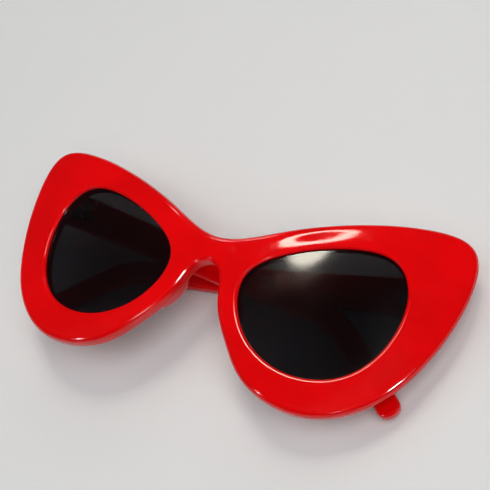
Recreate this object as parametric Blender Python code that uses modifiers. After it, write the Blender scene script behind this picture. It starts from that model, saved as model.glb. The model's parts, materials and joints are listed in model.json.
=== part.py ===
"""Cat eye sunglasses with folded temples, lying on the backs of the temples.

The front frame is modelled upright in its own frame: X across the face towards the
wearer's left, Y from the face towards the wearer, Z up along the front, with the
origin on the face at the middle of the bridge. A parent empty then lays the whole
object down as it rests. Each temple is modelled open, with its origin on its hinge
axis, and is turned into its folded rest position by an empty on that axis.
"""

import math

import bmesh
import bpy
import numpy as np
from mathutils import Matrix, Vector

MM = 0.001
LEFT = 1.0
RIGHT = -1.0
SIDES = {"left": LEFT, "right": RIGHT}

# ---------------------------------------------------------------- driving sizes
FRONT_WIDTH = 150.0 * MM
FRONT_HEIGHT = 62.0 * MM
FRONT_THICKNESS = 5.5 * MM
FACE_RADIUS = 260.0 * MM
OUTER_EDGE_ROUND = 1.5 * MM
OPENING_EDGE_ROUND = 0.4 * MM

LENS_THICKNESS = 2.0 * MM
LENS_SETBACK = 1.3 * MM
LENS_BITE = 0.8 * MM

TEMPLE_BEND_RADIUS = 25.0 * MM
TEMPLE_BEND_ANGLE = math.radians(34.0)
TEMPLE_TAIL = 27.0 * MM
TEMPLE_HEIGHT = 12.0 * MM
TEMPLE_TAIL_HEIGHT = 7.0 * MM
TEMPLE_THICKNESS = 3.8 * MM
TEMPLE_SLOPE = math.radians(8.0)
TEMPLE_HOOK = 1.5 * MM
TEMPLE_EDGE_ROUND = 1.1 * MM
# The tip is rounded over this length, down to this share of its half height.
TIP_ROUND_LENGTH = 3.0 * MM
TIP_END_SHARE = 0.4

# The hinges sit this far in from the front's widest place and below its highest one.
HINGE_INSET = 8.0 * MM
HINGE_DROP = 14.9 * MM
HINGE_PLACE = FRONT_WIDTH / 2 - HINGE_INSET
HINGE_HEIGHT = FRONT_HEIGHT / 2 - HINGE_DROP
# A folded temple is straight up to this far from the other hinge, and hooks before that.
TEMPLE_BEND_ROOM = 39.0 * MM
TEMPLE_HOOK_LENGTH = 11.0 * MM
TEMPLE_STRAIGHT = 2 * HINGE_PLACE - TEMPLE_BEND_ROOM
TEMPLE_HOOK_START = TEMPLE_STRAIGHT - TEMPLE_HOOK_LENGTH
KNUCKLE_COUNT = 5
KNUCKLE_RADIUS = 1.7 * MM
BARREL_LENGTH = 8.0 * MM
AXIS_LIFT = 0.5 * MM
AXIS_STANDOFF = KNUCKLE_RADIUS + AXIS_LIFT
LEAF_THICKNESS = 1.3 * MM
FRONT_LEAF_LENGTH = 5.2 * MM
TEMPLE_LEAF_LENGTH = 11.0 * MM
WEB_WIDTH = 1.7 * MM
SCREW_RADIUS = 0.5 * MM
SCREW_HEAD_RADIUS = 1.2 * MM
SCREW_HEAD_HEIGHT = 0.8 * MM
SCREW_SLOT_WIDTH = 0.4 * MM
SCREW_SLOT_DEPTH = 0.4 * MM
SCREW_PLAY = 0.05 * MM

WIRE_RADIUS = 0.6 * MM
WIRE_DEPTH = 1.9 * MM
WIRE_END_COVER = 8.0 * MM

# The nose pads sit on the nose rims, at these shares of half the width and half the height.
PAD_PLACE = 0.144 * FRONT_WIDTH / 2
PAD_DROP = 0.21 * FRONT_HEIGHT / 2
PAD_WIDTH = 5.6 * MM
PAD_LENGTH = 14.0 * MM
PAD_DEPTH = 5.5 * MM
PAD_TILT = math.radians(28.0)

CLEARANCE = 0.3 * MM
# A little more room than a bare clearance, so that an open temple can spread a degree.
OPEN_GAP = 0.1 * MM
CUT_MARGIN = 1.0 * MM

# Folded: the right temple leans in towards the lenses, and the left one leans out over
# it, so that they pass with a clearance where they are nearest, this far from the left
# temple's hinge.
INNER_LEAN = math.radians(1.3)
NEAREST = 36.0 * MM
AXIS_SPAN = 2 * (HINGE_PLACE - AXIS_STANDOFF)
OUTER_RISE = TEMPLE_THICKNESS + CLEARANCE - (AXIS_SPAN - NEAREST) * math.sin(INNER_LEAN)
FOLD = {
    "left": math.pi / 2 - math.asin(OUTER_RISE / NEAREST),
    "right": math.pi / 2 + INNER_LEAN,
}
# The lean and the roll at which the folded temples lie on a flat surface.
LEAN_BACK = math.radians(86.06)
ROLL = math.radians(3.64)

# Half outlines as fractions of half the width and half the height, from the top of
# the bridge round the upswept corner and the rim to the top of the nose arch.
OUTLINE = (
    (0.0, 0.377), (0.224, 0.565), (0.396, 0.755), (0.580, 0.910), (0.776, 1.019),
    (0.964, 0.965), (0.991, 0.400), (0.916, -0.210), (0.797, -0.668), (0.573, -0.984),
    (0.324, -0.887), (0.199, -0.597), (0.111, -0.284), (0.073, -0.020), (0.043, 0.100), (0.0, 0.142),
)
OPENING = (
    (0.483, 0.584), (0.689, 0.626), (0.783, 0.342), (0.761, -0.203), (0.636, -0.584),
    (0.431, -0.684), (0.231, -0.413), (0.168, 0.077), (0.297, 0.390),
)
SPOKES = 48
ROD_SIDES = 16
TURN_WEIGHT = 9.0 * MM
JUST_OFF_MIDDLE = 0.01 * MM
BRIDGE_SPOKES = 2
RIM_ROWS = 4
LENS_ROWS = 4

# ---------------------------------------------------------------- materials
FINISHES = {
    "red_acetate": ((0.62, 0.004, 0.006), 0.10, 0.0),
    "grey_lens": ((0.02, 0.022, 0.025), 0.04, 0.0),
    "hinge_metal": ((0.62, 0.60, 0.56), 0.28, 1.0),
}


def make_material(name):
    """Return the Principled material of one finish."""
    colour, roughness, metallic = FINISHES[name]
    material = bpy.data.materials.get(name) or bpy.data.materials.new(name)
    material.use_nodes = True
    shader = material.node_tree.nodes["Principled BSDF"]
    shader.inputs["Base Color"].default_value = (*colour, 1.0)
    shader.inputs["Roughness"].default_value = roughness
    shader.inputs["Metallic"].default_value = metallic
    return material


# ---------------------------------------------------------------- scene helpers
def clear_scene():
    """Remove whatever the file opened with."""
    for thing in list(bpy.data.objects):
        bpy.data.objects.remove(thing, do_unlink=True)


def make_collection(name):
    """Return a new collection in the scene."""
    collection = bpy.data.collections.new(name)
    bpy.context.scene.collection.children.link(collection)
    return collection


def add_object(name, mesh, collection, finish=None, parent=None):
    """Make an object of a mesh, with its finish and parent."""
    thing = bpy.data.objects.new(name, mesh)
    collection.objects.link(thing)
    if finish:
        mesh.materials.clear()
        mesh.materials.append(make_material(finish))
    thing.parent = parent
    return thing


def add_cutter(name, mesh, parent):
    """Make an object that only cuts others."""
    cutter = add_object(name, mesh, CUTTERS, parent=parent)
    cutter.hide_render = True
    cutter.display_type = "WIRE"
    return cutter


def cut(target, cutter, operation="DIFFERENCE"):
    """Add an exact Boolean modifier."""
    modifier = target.modifiers.new(cutter.name, "BOOLEAN")
    modifier.operation = operation
    modifier.solver = "EXACT"
    modifier.object = cutter
    return modifier


def bake(thing):
    """Return the evaluated mesh of an object as a new mesh in its own space."""
    bpy.context.view_layer.update()
    graph = bpy.context.evaluated_depsgraph_get()
    return bpy.data.meshes.new_from_object(thing.evaluated_get(graph))


def mesh_from(work, name):
    """Turn a bmesh into a mesh whose faces point out, shaded smooth between edges."""
    bmesh.ops.recalc_face_normals(work, faces=work.faces)
    mesh = bpy.data.meshes.new(name)
    work.to_mesh(mesh)
    work.free()
    mesh.shade_smooth()
    mesh.set_sharp_from_angle(angle=math.radians(35.0))
    return mesh


# ---------------------------------------------------------------- curves
def smooth_loop(points, count):
    """Return points at even steps along a smooth closed curve through the given ones."""
    knots = np.array(points, dtype=float)
    n = len(knots)
    gaps = np.sqrt(np.linalg.norm(np.roll(knots, -1, axis=0) - knots, axis=1))
    system = np.zeros((n, n))
    right = np.zeros((n, 2))
    for i in range(n):
        before, after = gaps[i - 1], gaps[i]
        system[i, i - 1] += after
        system[i, i] += 2.0 * (before + after)
        system[i, (i + 1) % n] += before
        step_before = (knots[i] - knots[i - 1]) / before
        step_after = (knots[(i + 1) % n] - knots[i]) / after
        right[i] = 3.0 * (after * step_before + before * step_after)
    slopes = np.linalg.solve(system, right)
    fine = []
    for i in range(n):
        j = (i + 1) % n
        for t in np.linspace(0.0, 1.0, 60, endpoint=False):
            a = (1 + 2 * t) * (1 - t) ** 2
            b = t * (1 - t) ** 2 * gaps[i]
            c = t * t * (3 - 2 * t)
            d = t * t * (t - 1) * gaps[i]
            fine.append(a * knots[i] + b * slopes[i] + c * knots[j] + d * slopes[j])
    return even_steps(np.array(fine + fine[:1]), count + 1)[:-1]


def even_steps(line, count, turn_weight=0.0):
    """Return points spread evenly along a polyline, closer together where it turns."""
    steps = np.diff(line, axis=0)
    lengths = np.linalg.norm(steps, axis=1)
    bearing = np.unwrap(np.arctan2(steps[:, 1], steps[:, 0]))
    turns = np.abs(np.diff(bearing, prepend=bearing[0]))
    run = np.concatenate([[0.0], np.cumsum(lengths + turn_weight * turns)])
    places = np.linspace(0.0, run[-1], count)
    return np.stack([np.interp(places, run, line[:, k]) for k in range(2)], axis=1)


def half_outline(count):
    """Return the outline from the top of the bridge to the nose arch, on one side."""
    half = [(u * FRONT_WIDTH / 2, v * FRONT_HEIGHT / 2) for u, v in OUTLINE]
    mirrored = [(-u, v) for u, v in half[-2:0:-1]]
    loop = smooth_loop(half + mirrored, 1600)
    side = loop[: len(loop) // 2 + 2]
    side = side[side[:, 0] > JUST_OFF_MIDDLE]
    ends = np.array([half[0], half[-1]])
    line = np.concatenate([ends[:1], side, ends[1:]])
    return even_steps(line, count, turn_weight=TURN_WEIGHT)


def opening_loop(count=720):
    """Return the edge of the lens opening on the wearer's left."""
    points = [(u * FRONT_WIDTH / 2, v * FRONT_HEIGHT / 2) for u, v in OPENING]
    return smooth_loop(points, count)


def offset_loop(loop, distance):
    """Return a closed loop moved outwards by a distance."""
    run = np.roll(loop, -1, axis=0) - np.roll(loop, 1, axis=0)
    run /= np.linalg.norm(run, axis=1)[:, None]
    normal = np.stack([-run[:, 1], run[:, 0]], axis=1)
    centre = loop.mean(axis=0)
    if np.sum((loop - centre) * normal) < 0.0:
        normal = -normal
    return loop + distance * normal


def radius_at(loop, centre, angles):
    """Return a loop's distance from a centre at the given angles."""
    arms = loop - centre
    bearing = np.arctan2(arms[:, 1], arms[:, 0])
    reach = np.hypot(arms[:, 0], arms[:, 1])
    order = np.argsort(bearing)
    return np.interp(angles, bearing[order], reach[order], period=2.0 * math.pi)


def on_face(u, v, depth=0.0):
    """Return the point at u across and v up the curved front, at a depth behind it."""
    turn = u / FACE_RADIUS
    reach = FACE_RADIUS - depth
    return Vector((reach * math.sin(turn), FACE_RADIUS - reach * math.cos(turn), v))


def face_frame(u, v, depth=0.0):
    """Return the matrix whose X runs across and Y runs back at a place on the front."""
    turn = Matrix.Rotation(u / FACE_RADIUS, 4, "Z")
    return Matrix.Translation(on_face(u, v, depth)) @ turn


# ---------------------------------------------------------------- solids
def loft_loops(work, loops, close_centre=False):
    """Join closed loops of vertices row by row; the last may close on one point."""
    rows = [[work.verts.new(point) for point in loop] for loop in loops]
    for first, second in zip(rows, rows[1:]):
        for i in range(len(first)):
            j = (i + 1) % len(first)
            work.faces.new((first[i], first[j], second[j], second[i]))
    if close_centre:
        middle = work.verts.new(sum((v.co for v in rows[-1]), Vector()) / len(rows[-1]))
        for i in range(len(rows[-1])):
            work.faces.new((rows[-1][i], rows[-1][(i + 1) % len(rows[-1])], middle))


def face_towards(work, direction):
    """Turn every face so that it looks along a direction."""
    bmesh.ops.recalc_face_normals(work, faces=work.faces)
    total = sum((face.normal * face.calc_area() for face in work.faces), Vector())
    if total.dot(direction) < 0.0:
        bmesh.ops.reverse_faces(work, faces=work.faces)


def lens_plate(offset, depth, thickness, name):
    """Return the solid of a lens shaped plate that follows the front."""
    edge = offset_loop(opening_loop(), offset)[::9]
    centre = edge.mean(axis=0)
    loops = []
    for row in range(LENS_ROWS):
        scale = 1.0 - row / LENS_ROWS
        ring = centre + (edge - centre) * scale
        loops.append([on_face(u, v, depth) for u, v in ring])
    work = bmesh.new()
    loft_loops(work, loops, close_centre=True)
    face_towards(work, Vector((0.0, -1.0, 0.0)))
    sheet = bpy.data.meshes.new(name + "_sheet")
    work.to_mesh(sheet)
    work.free()
    return thicken(sheet, thickness, name)


def thicken(sheet, thickness, name, offset=-1.0):
    """Return a closed solid made from a sheet by Solidify."""
    holder = add_object(name + "_holder", sheet, CUTTERS)
    modifier = holder.modifiers.new("thickness", "SOLIDIFY")
    modifier.thickness = thickness
    modifier.offset = offset
    modifier.use_even_offset = True
    solid = bake(holder)
    solid.name = name
    bpy.data.objects.remove(holder, do_unlink=True)
    return solid


def mirrored_mesh(mesh, name):
    """Return a copy of a mesh reflected across the middle plane."""
    work = bmesh.new()
    work.from_mesh(mesh)
    bmesh.ops.scale(work, vec=(-1.0, 1.0, 1.0), verts=work.verts)
    bmesh.ops.reverse_faces(work, faces=work.faces)
    return mesh_from(work, name)


def for_side(mesh, side, name):
    """Return the mesh for a side; shapes are drawn for the wearer's left."""
    if side == LEFT:
        mesh.name = name
        return mesh
    return mirrored_mesh(mesh, name)


def add_box(work, low, high):
    """Add a box between two corners to a bmesh."""
    low, high = Vector(low), Vector(high)
    made = bmesh.ops.create_cube(work, size=1.0)
    bmesh.ops.scale(work, vec=high - low, verts=made["verts"])
    bmesh.ops.translate(work, vec=(high + low) / 2, verts=made["verts"])


def box_mesh(low, high, name):
    """Return the mesh of a box between two corners."""
    work = bmesh.new()
    add_box(work, low, high)
    return mesh_from(work, name)


def rod_mesh(radius, low, high, name, sides=24):
    """Return the mesh of an upright cylinder between two heights."""
    work = bmesh.new()
    made = bmesh.ops.create_cone(
        work, cap_ends=True, segments=sides, radius1=radius, radius2=radius, depth=high - low
    )
    bmesh.ops.translate(work, vec=(0.0, 0.0, (high + low) / 2), verts=made["verts"])
    return mesh_from(work, name)


def join_solids(meshes, name, cuts=()):
    """Return one mesh that is the union of solids, less the cuts."""
    base = add_object(name + "_base", meshes[0], CUTTERS)
    helpers = []
    for mesh in meshes[1:]:
        helper = add_object(mesh.name + "_helper", mesh, CUTTERS)
        cut(base, helper, "UNION")
        helpers.append(helper)
    for mesh in cuts:
        helper = add_object(mesh.name + "_helper", mesh, CUTTERS)
        cut(base, helper)
        helpers.append(helper)
    joined = bake(base)
    joined.name = name
    for helper in [base, *helpers]:
        bpy.data.objects.remove(helper, do_unlink=True)
    joined.shade_smooth()
    joined.set_sharp_from_angle(angle=math.radians(35.0))
    return joined


# ---------------------------------------------------------------- front
def rim_sheet():
    """Return one half of the front's face, as rows of quads round the opening."""
    outer = half_outline(SPOKES)
    top, arch = outer[0], outer[-1]
    steps = np.linspace(0.0, 1.0, BRIDGE_SPOKES + 2)[1:-1, None]
    outer = np.concatenate([outer, arch + (top - arch) * steps])
    edge = opening_loop()
    centre = edge.mean(axis=0)
    arms = outer - centre
    angles = np.arctan2(arms[:, 1], arms[:, 0])
    reach = radius_at(edge, centre, angles)
    inner = centre + reach[:, None] * np.stack([np.cos(angles), np.sin(angles)], axis=1)
    loops = []
    for row in range(RIM_ROWS + 1):
        line = outer + (inner - outer) * row / RIM_ROWS
        loops.append([on_face(u, v) for u, v in line])
    work = bmesh.new()
    loft_loops(work, loops)
    face_towards(work, Vector((0.0, -1.0, 0.0)))
    sheet = bpy.data.meshes.new("rim_sheet")
    work.to_mesh(sheet)
    work.free()
    return sheet


def front_solid():
    """Return the front as a closed solid with rounded edges."""
    holder = add_object("front_holder", rim_sheet(), CUTTERS)
    mirror = holder.modifiers.new("mirror", "MIRROR")
    mirror.use_clip = True
    mirror.merge_threshold = 0.00001
    thickness = holder.modifiers.new("thickness", "SOLIDIFY")
    thickness.thickness = FRONT_THICKNESS
    thickness.offset = -1.0
    thickness.use_even_offset = True
    solid = bake(holder)
    bpy.data.objects.remove(holder, do_unlink=True)
    work = bmesh.new()
    work.from_mesh(solid)
    centre = opening_loop().mean(axis=0)
    for near_opening, size in ((False, OUTER_EDGE_ROUND), (True, OPENING_EDGE_ROUND)):
        edges = [e for e in work.edges if e.is_manifold
                 and e.calc_face_angle() > math.radians(60.0)
                 and is_near_opening(e, centre) == near_opening]
        segments = 2 if near_opening else 4
        bmesh.ops.bevel(work, geom=edges, offset=size, segments=segments, profile=0.5,
                        affect="EDGES", clamp_overlap=True)
    return mesh_from(work, "front_frame")


def is_near_opening(edge, centre):
    """Tell whether an edge belongs to a lens opening and not to the outline."""
    just_outside = 1.06
    middle = (edge.verts[0].co + edge.verts[1].co) / 2
    arm = Vector((abs(middle.x) - centre[0], middle.z - centre[1]))
    angle = math.atan2(arm.y, arm.x)
    reach = float(radius_at(opening_loop(), centre, angle))
    return arm.length < reach * just_outside


def build_front(parent):
    """Build the front with its lens grooves and the pockets for the hinge leaves."""
    front = add_object("front_frame", front_solid(), PARTS, "red_acetate", parent)
    groove = lens_plate(
        LENS_BITE + CLEARANCE,
        LENS_SETBACK - CLEARANCE,
        LENS_THICKNESS + 2 * CLEARANCE,
        "lens_groove",
    )
    pocket = box_mesh(
        (-FRONT_LEAF_LENGTH - WEB_WIDTH / 2 - CLEARANCE, -LEAF_THICKNESS - CLEARANCE,
         -BARREL_LENGTH / 2 - CLEARANCE),
        (WEB_WIDTH / 2 + CLEARANCE, CUT_MARGIN, BARREL_LENGTH / 2 + CLEARANCE),
        "front_leaf_pocket",
    )
    for word, side in SIDES.items():
        cutter = for_side(groove.copy(), side, word + "_lens_groove")
        cut(front, add_cutter(word + "_lens_groove", cutter, parent))
        hole = for_side(pocket.copy(), side, word + "_front_leaf_pocket")
        box = add_cutter(word + "_front_leaf_pocket", hole, parent)
        box.matrix_local = side_frame(side)
        cut(front, box)
    return front


def side_frame(side):
    """Return the frame on the back of the front behind the hinge of one side."""
    return face_frame(side * HINGE_PLACE, HINGE_HEIGHT, FRONT_THICKNESS)


def hinge_axis(side):
    """Return the foot of the hinge axis of one side, in the front's frame."""
    return side_frame(side) @ Vector((0.0, AXIS_STANDOFF, 0.0))


def build_lenses(parent):
    """Build both lenses, seated in the grooves with a clearance all round."""
    plate = lens_plate(LENS_BITE, LENS_SETBACK, LENS_THICKNESS, "lens")
    for word, side in SIDES.items():
        mesh = for_side(plate.copy(), side, word + "_lens")
        mesh.shade_smooth()
        mesh.set_sharp_from_angle(angle=math.radians(35.0))
        add_object(word + "_lens", mesh, PARTS, "grey_lens", parent)


def build_nose_pads(parent):
    """Build the nose pads: half ellipsoids seated on the back of the rims."""
    for word, side in SIDES.items():
        work = bmesh.new()
        bmesh.ops.create_uvsphere(work, u_segments=20, v_segments=12, radius=0.5)
        bmesh.ops.scale(work, vec=(PAD_WIDTH, 2 * PAD_DEPTH, PAD_LENGTH), verts=work.verts)
        turn = Matrix.Rotation(-side * PAD_TILT, 4, "Y")
        bmesh.ops.transform(work, matrix=turn, verts=work.verts)
        geometry = list(work.verts) + list(work.edges) + list(work.faces)
        cutting = bmesh.ops.bisect_plane(
            work, geom=geometry, plane_co=(0, 0, 0), plane_no=(0, -1, 0), clear_outer=True
        )
        rim = [e for e in cutting["geom_cut"] if isinstance(e, bmesh.types.BMEdge)]
        bmesh.ops.contextual_create(work, geom=rim)
        pad = add_object(word + "_nose_pad", mesh_from(work, word + "_nose_pad"), PARTS,
                         "red_acetate", parent)
        seat = FRONT_THICKNESS + CLEARANCE
        pad.matrix_local = face_frame(side * PAD_PLACE, -PAD_DROP, seat)


# ---------------------------------------------------------------- hinges
def knuckle_span(index):
    """Return the lower and upper height of one knuckle, counted from the bottom."""
    height = (BARREL_LENGTH - (KNUCKLE_COUNT - 1) * CLEARANCE) / KNUCKLE_COUNT
    low = -BARREL_LENGTH / 2 + index * (height + CLEARANCE)
    return low, low + height


def screw_hole():
    """Return the cutter for the screw hole through the knuckles."""
    reach = BARREL_LENGTH / 2 + CUT_MARGIN
    return rod_mesh(SCREW_RADIUS + SCREW_PLAY, -reach, reach, "screw_hole", ROD_SIDES)


def front_leaf_mesh(name):
    """Return the leaf that is sunk in the front, with its knuckles; origin on the axis."""
    back = -AXIS_STANDOFF
    solids = [box_mesh(
        (-FRONT_LEAF_LENGTH - WEB_WIDTH / 2, back - LEAF_THICKNESS, -BARREL_LENGTH / 2),
        (WEB_WIDTH / 2, back, BARREL_LENGTH / 2), name + "_plate")]
    for index in range(0, KNUCKLE_COUNT, 2):
        low, high = knuckle_span(index)
        solids.append(box_mesh(
            (-WEB_WIDTH / 2, back - LEAF_THICKNESS / 2, low), (WEB_WIDTH / 2, 0.0, high),
            name + "_web_%d" % index))
        solids.append(rod_mesh(KNUCKLE_RADIUS, low, high, name + "_knuckle_%d" % index))
    return join_solids(solids, name, [screw_hole()])


def temple_leaf_mesh(name):
    """Return the leaf that is sunk in the temple, with its knuckles; origin on the axis."""
    face = AXIS_STANDOFF
    solids = [box_mesh(
        (face, -WEB_WIDTH / 2, -BARREL_LENGTH / 2),
        (face + LEAF_THICKNESS, TEMPLE_LEAF_LENGTH, BARREL_LENGTH / 2), name + "_plate")]
    for index in range(1, KNUCKLE_COUNT, 2):
        low, high = knuckle_span(index)
        solids.append(box_mesh(
            (0.0, -WEB_WIDTH / 2, low), (face + LEAF_THICKNESS / 2, WEB_WIDTH / 2, high),
            name + "_web_%d" % index))
        solids.append(rod_mesh(KNUCKLE_RADIUS, low, high, name + "_knuckle_%d" % index))
    return join_solids(solids, name, [screw_hole()])


def screw_mesh(name):
    """Return the hinge screw: a shank, a round head and its slot."""
    top = BARREL_LENGTH / 2 + CLEARANCE
    shank = rod_mesh(SCREW_RADIUS, -BARREL_LENGTH / 2, top + SCREW_HEAD_HEIGHT / 2,
                     name + "_shank", ROD_SIDES)
    head = rod_mesh(SCREW_HEAD_RADIUS, top, top + SCREW_HEAD_HEIGHT, name + "_head")
    slot = box_mesh(
        (-2 * SCREW_HEAD_RADIUS, -SCREW_SLOT_WIDTH / 2, top + SCREW_HEAD_HEIGHT - SCREW_SLOT_DEPTH),
        (2 * SCREW_HEAD_RADIUS, SCREW_SLOT_WIDTH / 2, top + SCREW_HEAD_HEIGHT + CUT_MARGIN),
        name + "_slot")
    return join_solids([shank, head], name, [slot])


def build_hinges(parent, pivots):
    """Build both leaves and the screw of each hinge."""
    for word, side in SIDES.items():
        name = word + "_front_hinge_leaf"
        leaf = add_object(name, for_side(front_leaf_mesh(name), side, name), PARTS,
                          "hinge_metal", parent)
        leaf.matrix_local = side_frame(side) @ Matrix.Translation((0.0, AXIS_STANDOFF, 0.0))
        name = word + "_temple_hinge_leaf"
        add_object(name, for_side(temple_leaf_mesh(name), side, name), PARTS,
                   "hinge_metal", pivots[word])
        name = word + "_hinge_screw"
        screw = add_object(name, screw_mesh(name), PARTS, "hinge_metal", parent)
        screw.location = hinge_axis(side)


# ---------------------------------------------------------------- temples
def temple_length():
    """Return the length along the temple's middle line from the hinge axis."""
    return TEMPLE_STRAIGHT + TEMPLE_BEND_RADIUS * TEMPLE_BEND_ANGLE + TEMPLE_TAIL


def temple_line(s):
    """Return the place, the direction and the inward shift of the middle line at s."""
    bend = min(max(s - TEMPLE_STRAIGHT, 0.0), TEMPLE_BEND_RADIUS * TEMPLE_BEND_ANGLE)
    turn = bend / TEMPLE_BEND_RADIUS
    tail = max(s - TEMPLE_STRAIGHT - bend, 0.0)
    along = min(s, TEMPLE_STRAIGHT) + TEMPLE_BEND_RADIUS * math.sin(turn) + tail * math.cos(turn)
    drop = TEMPLE_BEND_RADIUS * (1 - math.cos(turn)) + tail * math.sin(turn)
    place = Vector((along, -drop))
    place.rotate(Matrix.Rotation(-TEMPLE_SLOPE, 2))
    slant = turn + TEMPLE_SLOPE
    hook_run = (s - TEMPLE_HOOK_START) / (temple_length() - TEMPLE_HOOK_START)
    return place, slant, TEMPLE_HOOK * max(hook_run, 0.0) ** 2


def temple_half_height(s):
    """Return half the temple's height at s, rounded off at the tip."""
    taper = min(max(s / TEMPLE_STRAIGHT, 0.0), 1.0)
    half = (TEMPLE_HEIGHT + (TEMPLE_TAIL_HEIGHT - TEMPLE_HEIGHT) * taper) / 2
    left = temple_length() - s
    if left < TIP_ROUND_LENGTH:
        sunk = (1.0 - TIP_END_SHARE ** 2) * (1.0 - left / TIP_ROUND_LENGTH) ** 2
        half *= math.sqrt(1.0 - sunk)
    return half


def temple_point(s, height, depth):
    """Return a point of the temple at s, a height off the line and a depth from its inside."""
    place, slant, shift = temple_line(s)
    return Vector((
        AXIS_STANDOFF + depth - shift,
        place.x + height * math.sin(slant),
        place.y + height * math.cos(slant),
    ))


def temple_stations():
    """Return the stations along the temple, closer where it bends and at the tip."""
    length = temple_length()
    straight = np.linspace(-3 * AXIS_STANDOFF, TEMPLE_HOOK_START, 8, endpoint=False)
    bend = np.linspace(TEMPLE_HOOK_START, length - TEMPLE_TAIL_HEIGHT / 2, 22, endpoint=False)
    tip = length - TEMPLE_TAIL_HEIGHT / 2 * np.cos(np.linspace(0.0, math.pi / 2, 7))
    return np.concatenate([straight, bend, tip])


def temple_mesh():
    """Return the solid temple, open, with its end mitred to the back of the front."""
    stations = temple_stations()
    rows = 3
    work = bmesh.new()
    grid = bmesh.ops.create_grid(work, x_segments=len(stations) - 1, y_segments=rows, size=1.0)
    for vert in grid["verts"]:
        station = round((vert.co.x + 1.0) / 2 * (len(stations) - 1))
        height = vert.co.y * temple_half_height(stations[station])
        vert.co = temple_point(stations[station], height, TEMPLE_THICKNESS)
    face_towards(work, Vector((1.0, 0.0, 0.0)))
    sheet = bpy.data.meshes.new("temple_sheet")
    work.to_mesh(sheet)
    work.free()
    work = bmesh.new()
    work.from_mesh(thicken(sheet, TEMPLE_THICKNESS, "temple_solid"))
    mitre = Matrix.Rotation(HINGE_PLACE / FACE_RADIUS, 3, "Z") @ Vector((0.0, 1.0, 0.0))
    start = mitre * (CLEARANCE + OPEN_GAP - AXIS_STANDOFF)
    geometry = list(work.verts) + list(work.edges) + list(work.faces)
    cutting = bmesh.ops.bisect_plane(
        work, geom=geometry, plane_co=start, plane_no=mitre, clear_inner=True
    )
    rim = [e for e in cutting["geom_cut"] if isinstance(e, bmesh.types.BMEdge)]
    bmesh.ops.contextual_create(work, geom=rim)
    bmesh.ops.recalc_face_normals(work, faces=work.faces)
    edges = [e for e in work.edges
             if e.calc_face_angle() > math.radians(50.0)
             and not all(abs((v.co - start).dot(mitre)) < 1e-5 for v in e.verts)]
    bmesh.ops.bevel(work, geom=edges, offset=TEMPLE_EDGE_ROUND, segments=3, profile=0.5,
                    affect="EDGES", clamp_overlap=True)
    return mesh_from(work, "temple")


def wire_stations(start, end):
    """Return the stations of the core wire, closer along the bend."""
    straight = np.linspace(start, TEMPLE_HOOK_START, 4, endpoint=False)
    bend = np.linspace(TEMPLE_HOOK_START, end, 16)
    return np.concatenate([straight, bend])


def wire_mesh(start, end, radius, name):
    """Return the solid of a wire that runs inside the temple."""
    curve = bpy.data.curves.new(name, "CURVE")
    curve.dimensions = "3D"
    curve.bevel_depth = radius
    curve.bevel_resolution = 2
    curve.use_fill_caps = True
    stations = wire_stations(start, end)
    spline = curve.splines.new("POLY")
    spline.points.add(len(stations) - 1)
    for point, s in zip(spline.points, stations):
        point.co = (*temple_point(s, 0.0, WIRE_DEPTH), 1.0)
    holder = bpy.data.objects.new(name + "_holder", curve)
    CUTTERS.objects.link(holder)
    tube = bake(holder)
    bpy.data.objects.remove(holder, do_unlink=True)
    work = bmesh.new()
    work.from_mesh(tube)
    bmesh.ops.remove_doubles(work, verts=work.verts, dist=0.00001)
    return mesh_from(work, name)


def build_temples(pivots):
    """Build both temples with the pocket for the leaf and the channel for the wire."""
    solid = temple_mesh()
    pocket_end = TEMPLE_LEAF_LENGTH + CLEARANCE
    pocket = box_mesh(
        (AXIS_STANDOFF - CUT_MARGIN, -4 * AXIS_STANDOFF, -BARREL_LENGTH / 2 - CLEARANCE),
        (AXIS_STANDOFF + LEAF_THICKNESS + CLEARANCE, pocket_end, BARREL_LENGTH / 2 + CLEARANCE),
        "leaf_pocket",
    )
    wire_end = temple_length() - WIRE_END_COVER
    wire_start = pocket_end / math.cos(TEMPLE_SLOPE) + CLEARANCE
    channel = wire_mesh(wire_start - CUT_MARGIN, wire_end + CLEARANCE,
                        WIRE_RADIUS + CLEARANCE, "wire_channel")
    wire = wire_mesh(wire_start, wire_end, WIRE_RADIUS, "core_wire")
    for word, side in SIDES.items():
        pivot = pivots[word]
        name = word + "_temple"
        temple = add_object(name, for_side(solid.copy(), side, name), PARTS,
                            "red_acetate", pivot)
        for mesh in (pocket, channel):
            name = word + "_" + mesh.name
            cut(temple, add_cutter(name, for_side(mesh.copy(), side, name), pivot))
        name = word + "_core_wire"
        add_object(name, for_side(wire.copy(), side, name), PARTS, "hinge_metal", pivot)


# ---------------------------------------------------------------- assembly
def make_empty(name, parent=None, location=(0.0, 0.0, 0.0)):
    """Make an empty that carries other objects."""
    empty = bpy.data.objects.new(name, None)
    PARTS.objects.link(empty)
    empty.parent = parent
    empty.location = location
    return empty


def lay_down(root):
    """Lean the object back as it lies and set its lowest point on the ground."""
    root.rotation_euler = (-LEAN_BACK, ROLL, 0.0)
    bpy.context.view_layer.update()
    graph = bpy.context.evaluated_depsgraph_get()
    corners = []
    for thing in PARTS.objects:
        if thing.type != "MESH":
            continue
        shape = thing.evaluated_get(graph)
        corners += [thing.matrix_world @ vert.co for vert in shape.data.vertices]
    spots = np.array([tuple(corner) for corner in corners])
    low, high = spots.min(axis=0), spots.max(axis=0)
    root.location = (-(low[0] + high[0]) / 2, -(low[1] + high[1]) / 2, -low[2])


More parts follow.
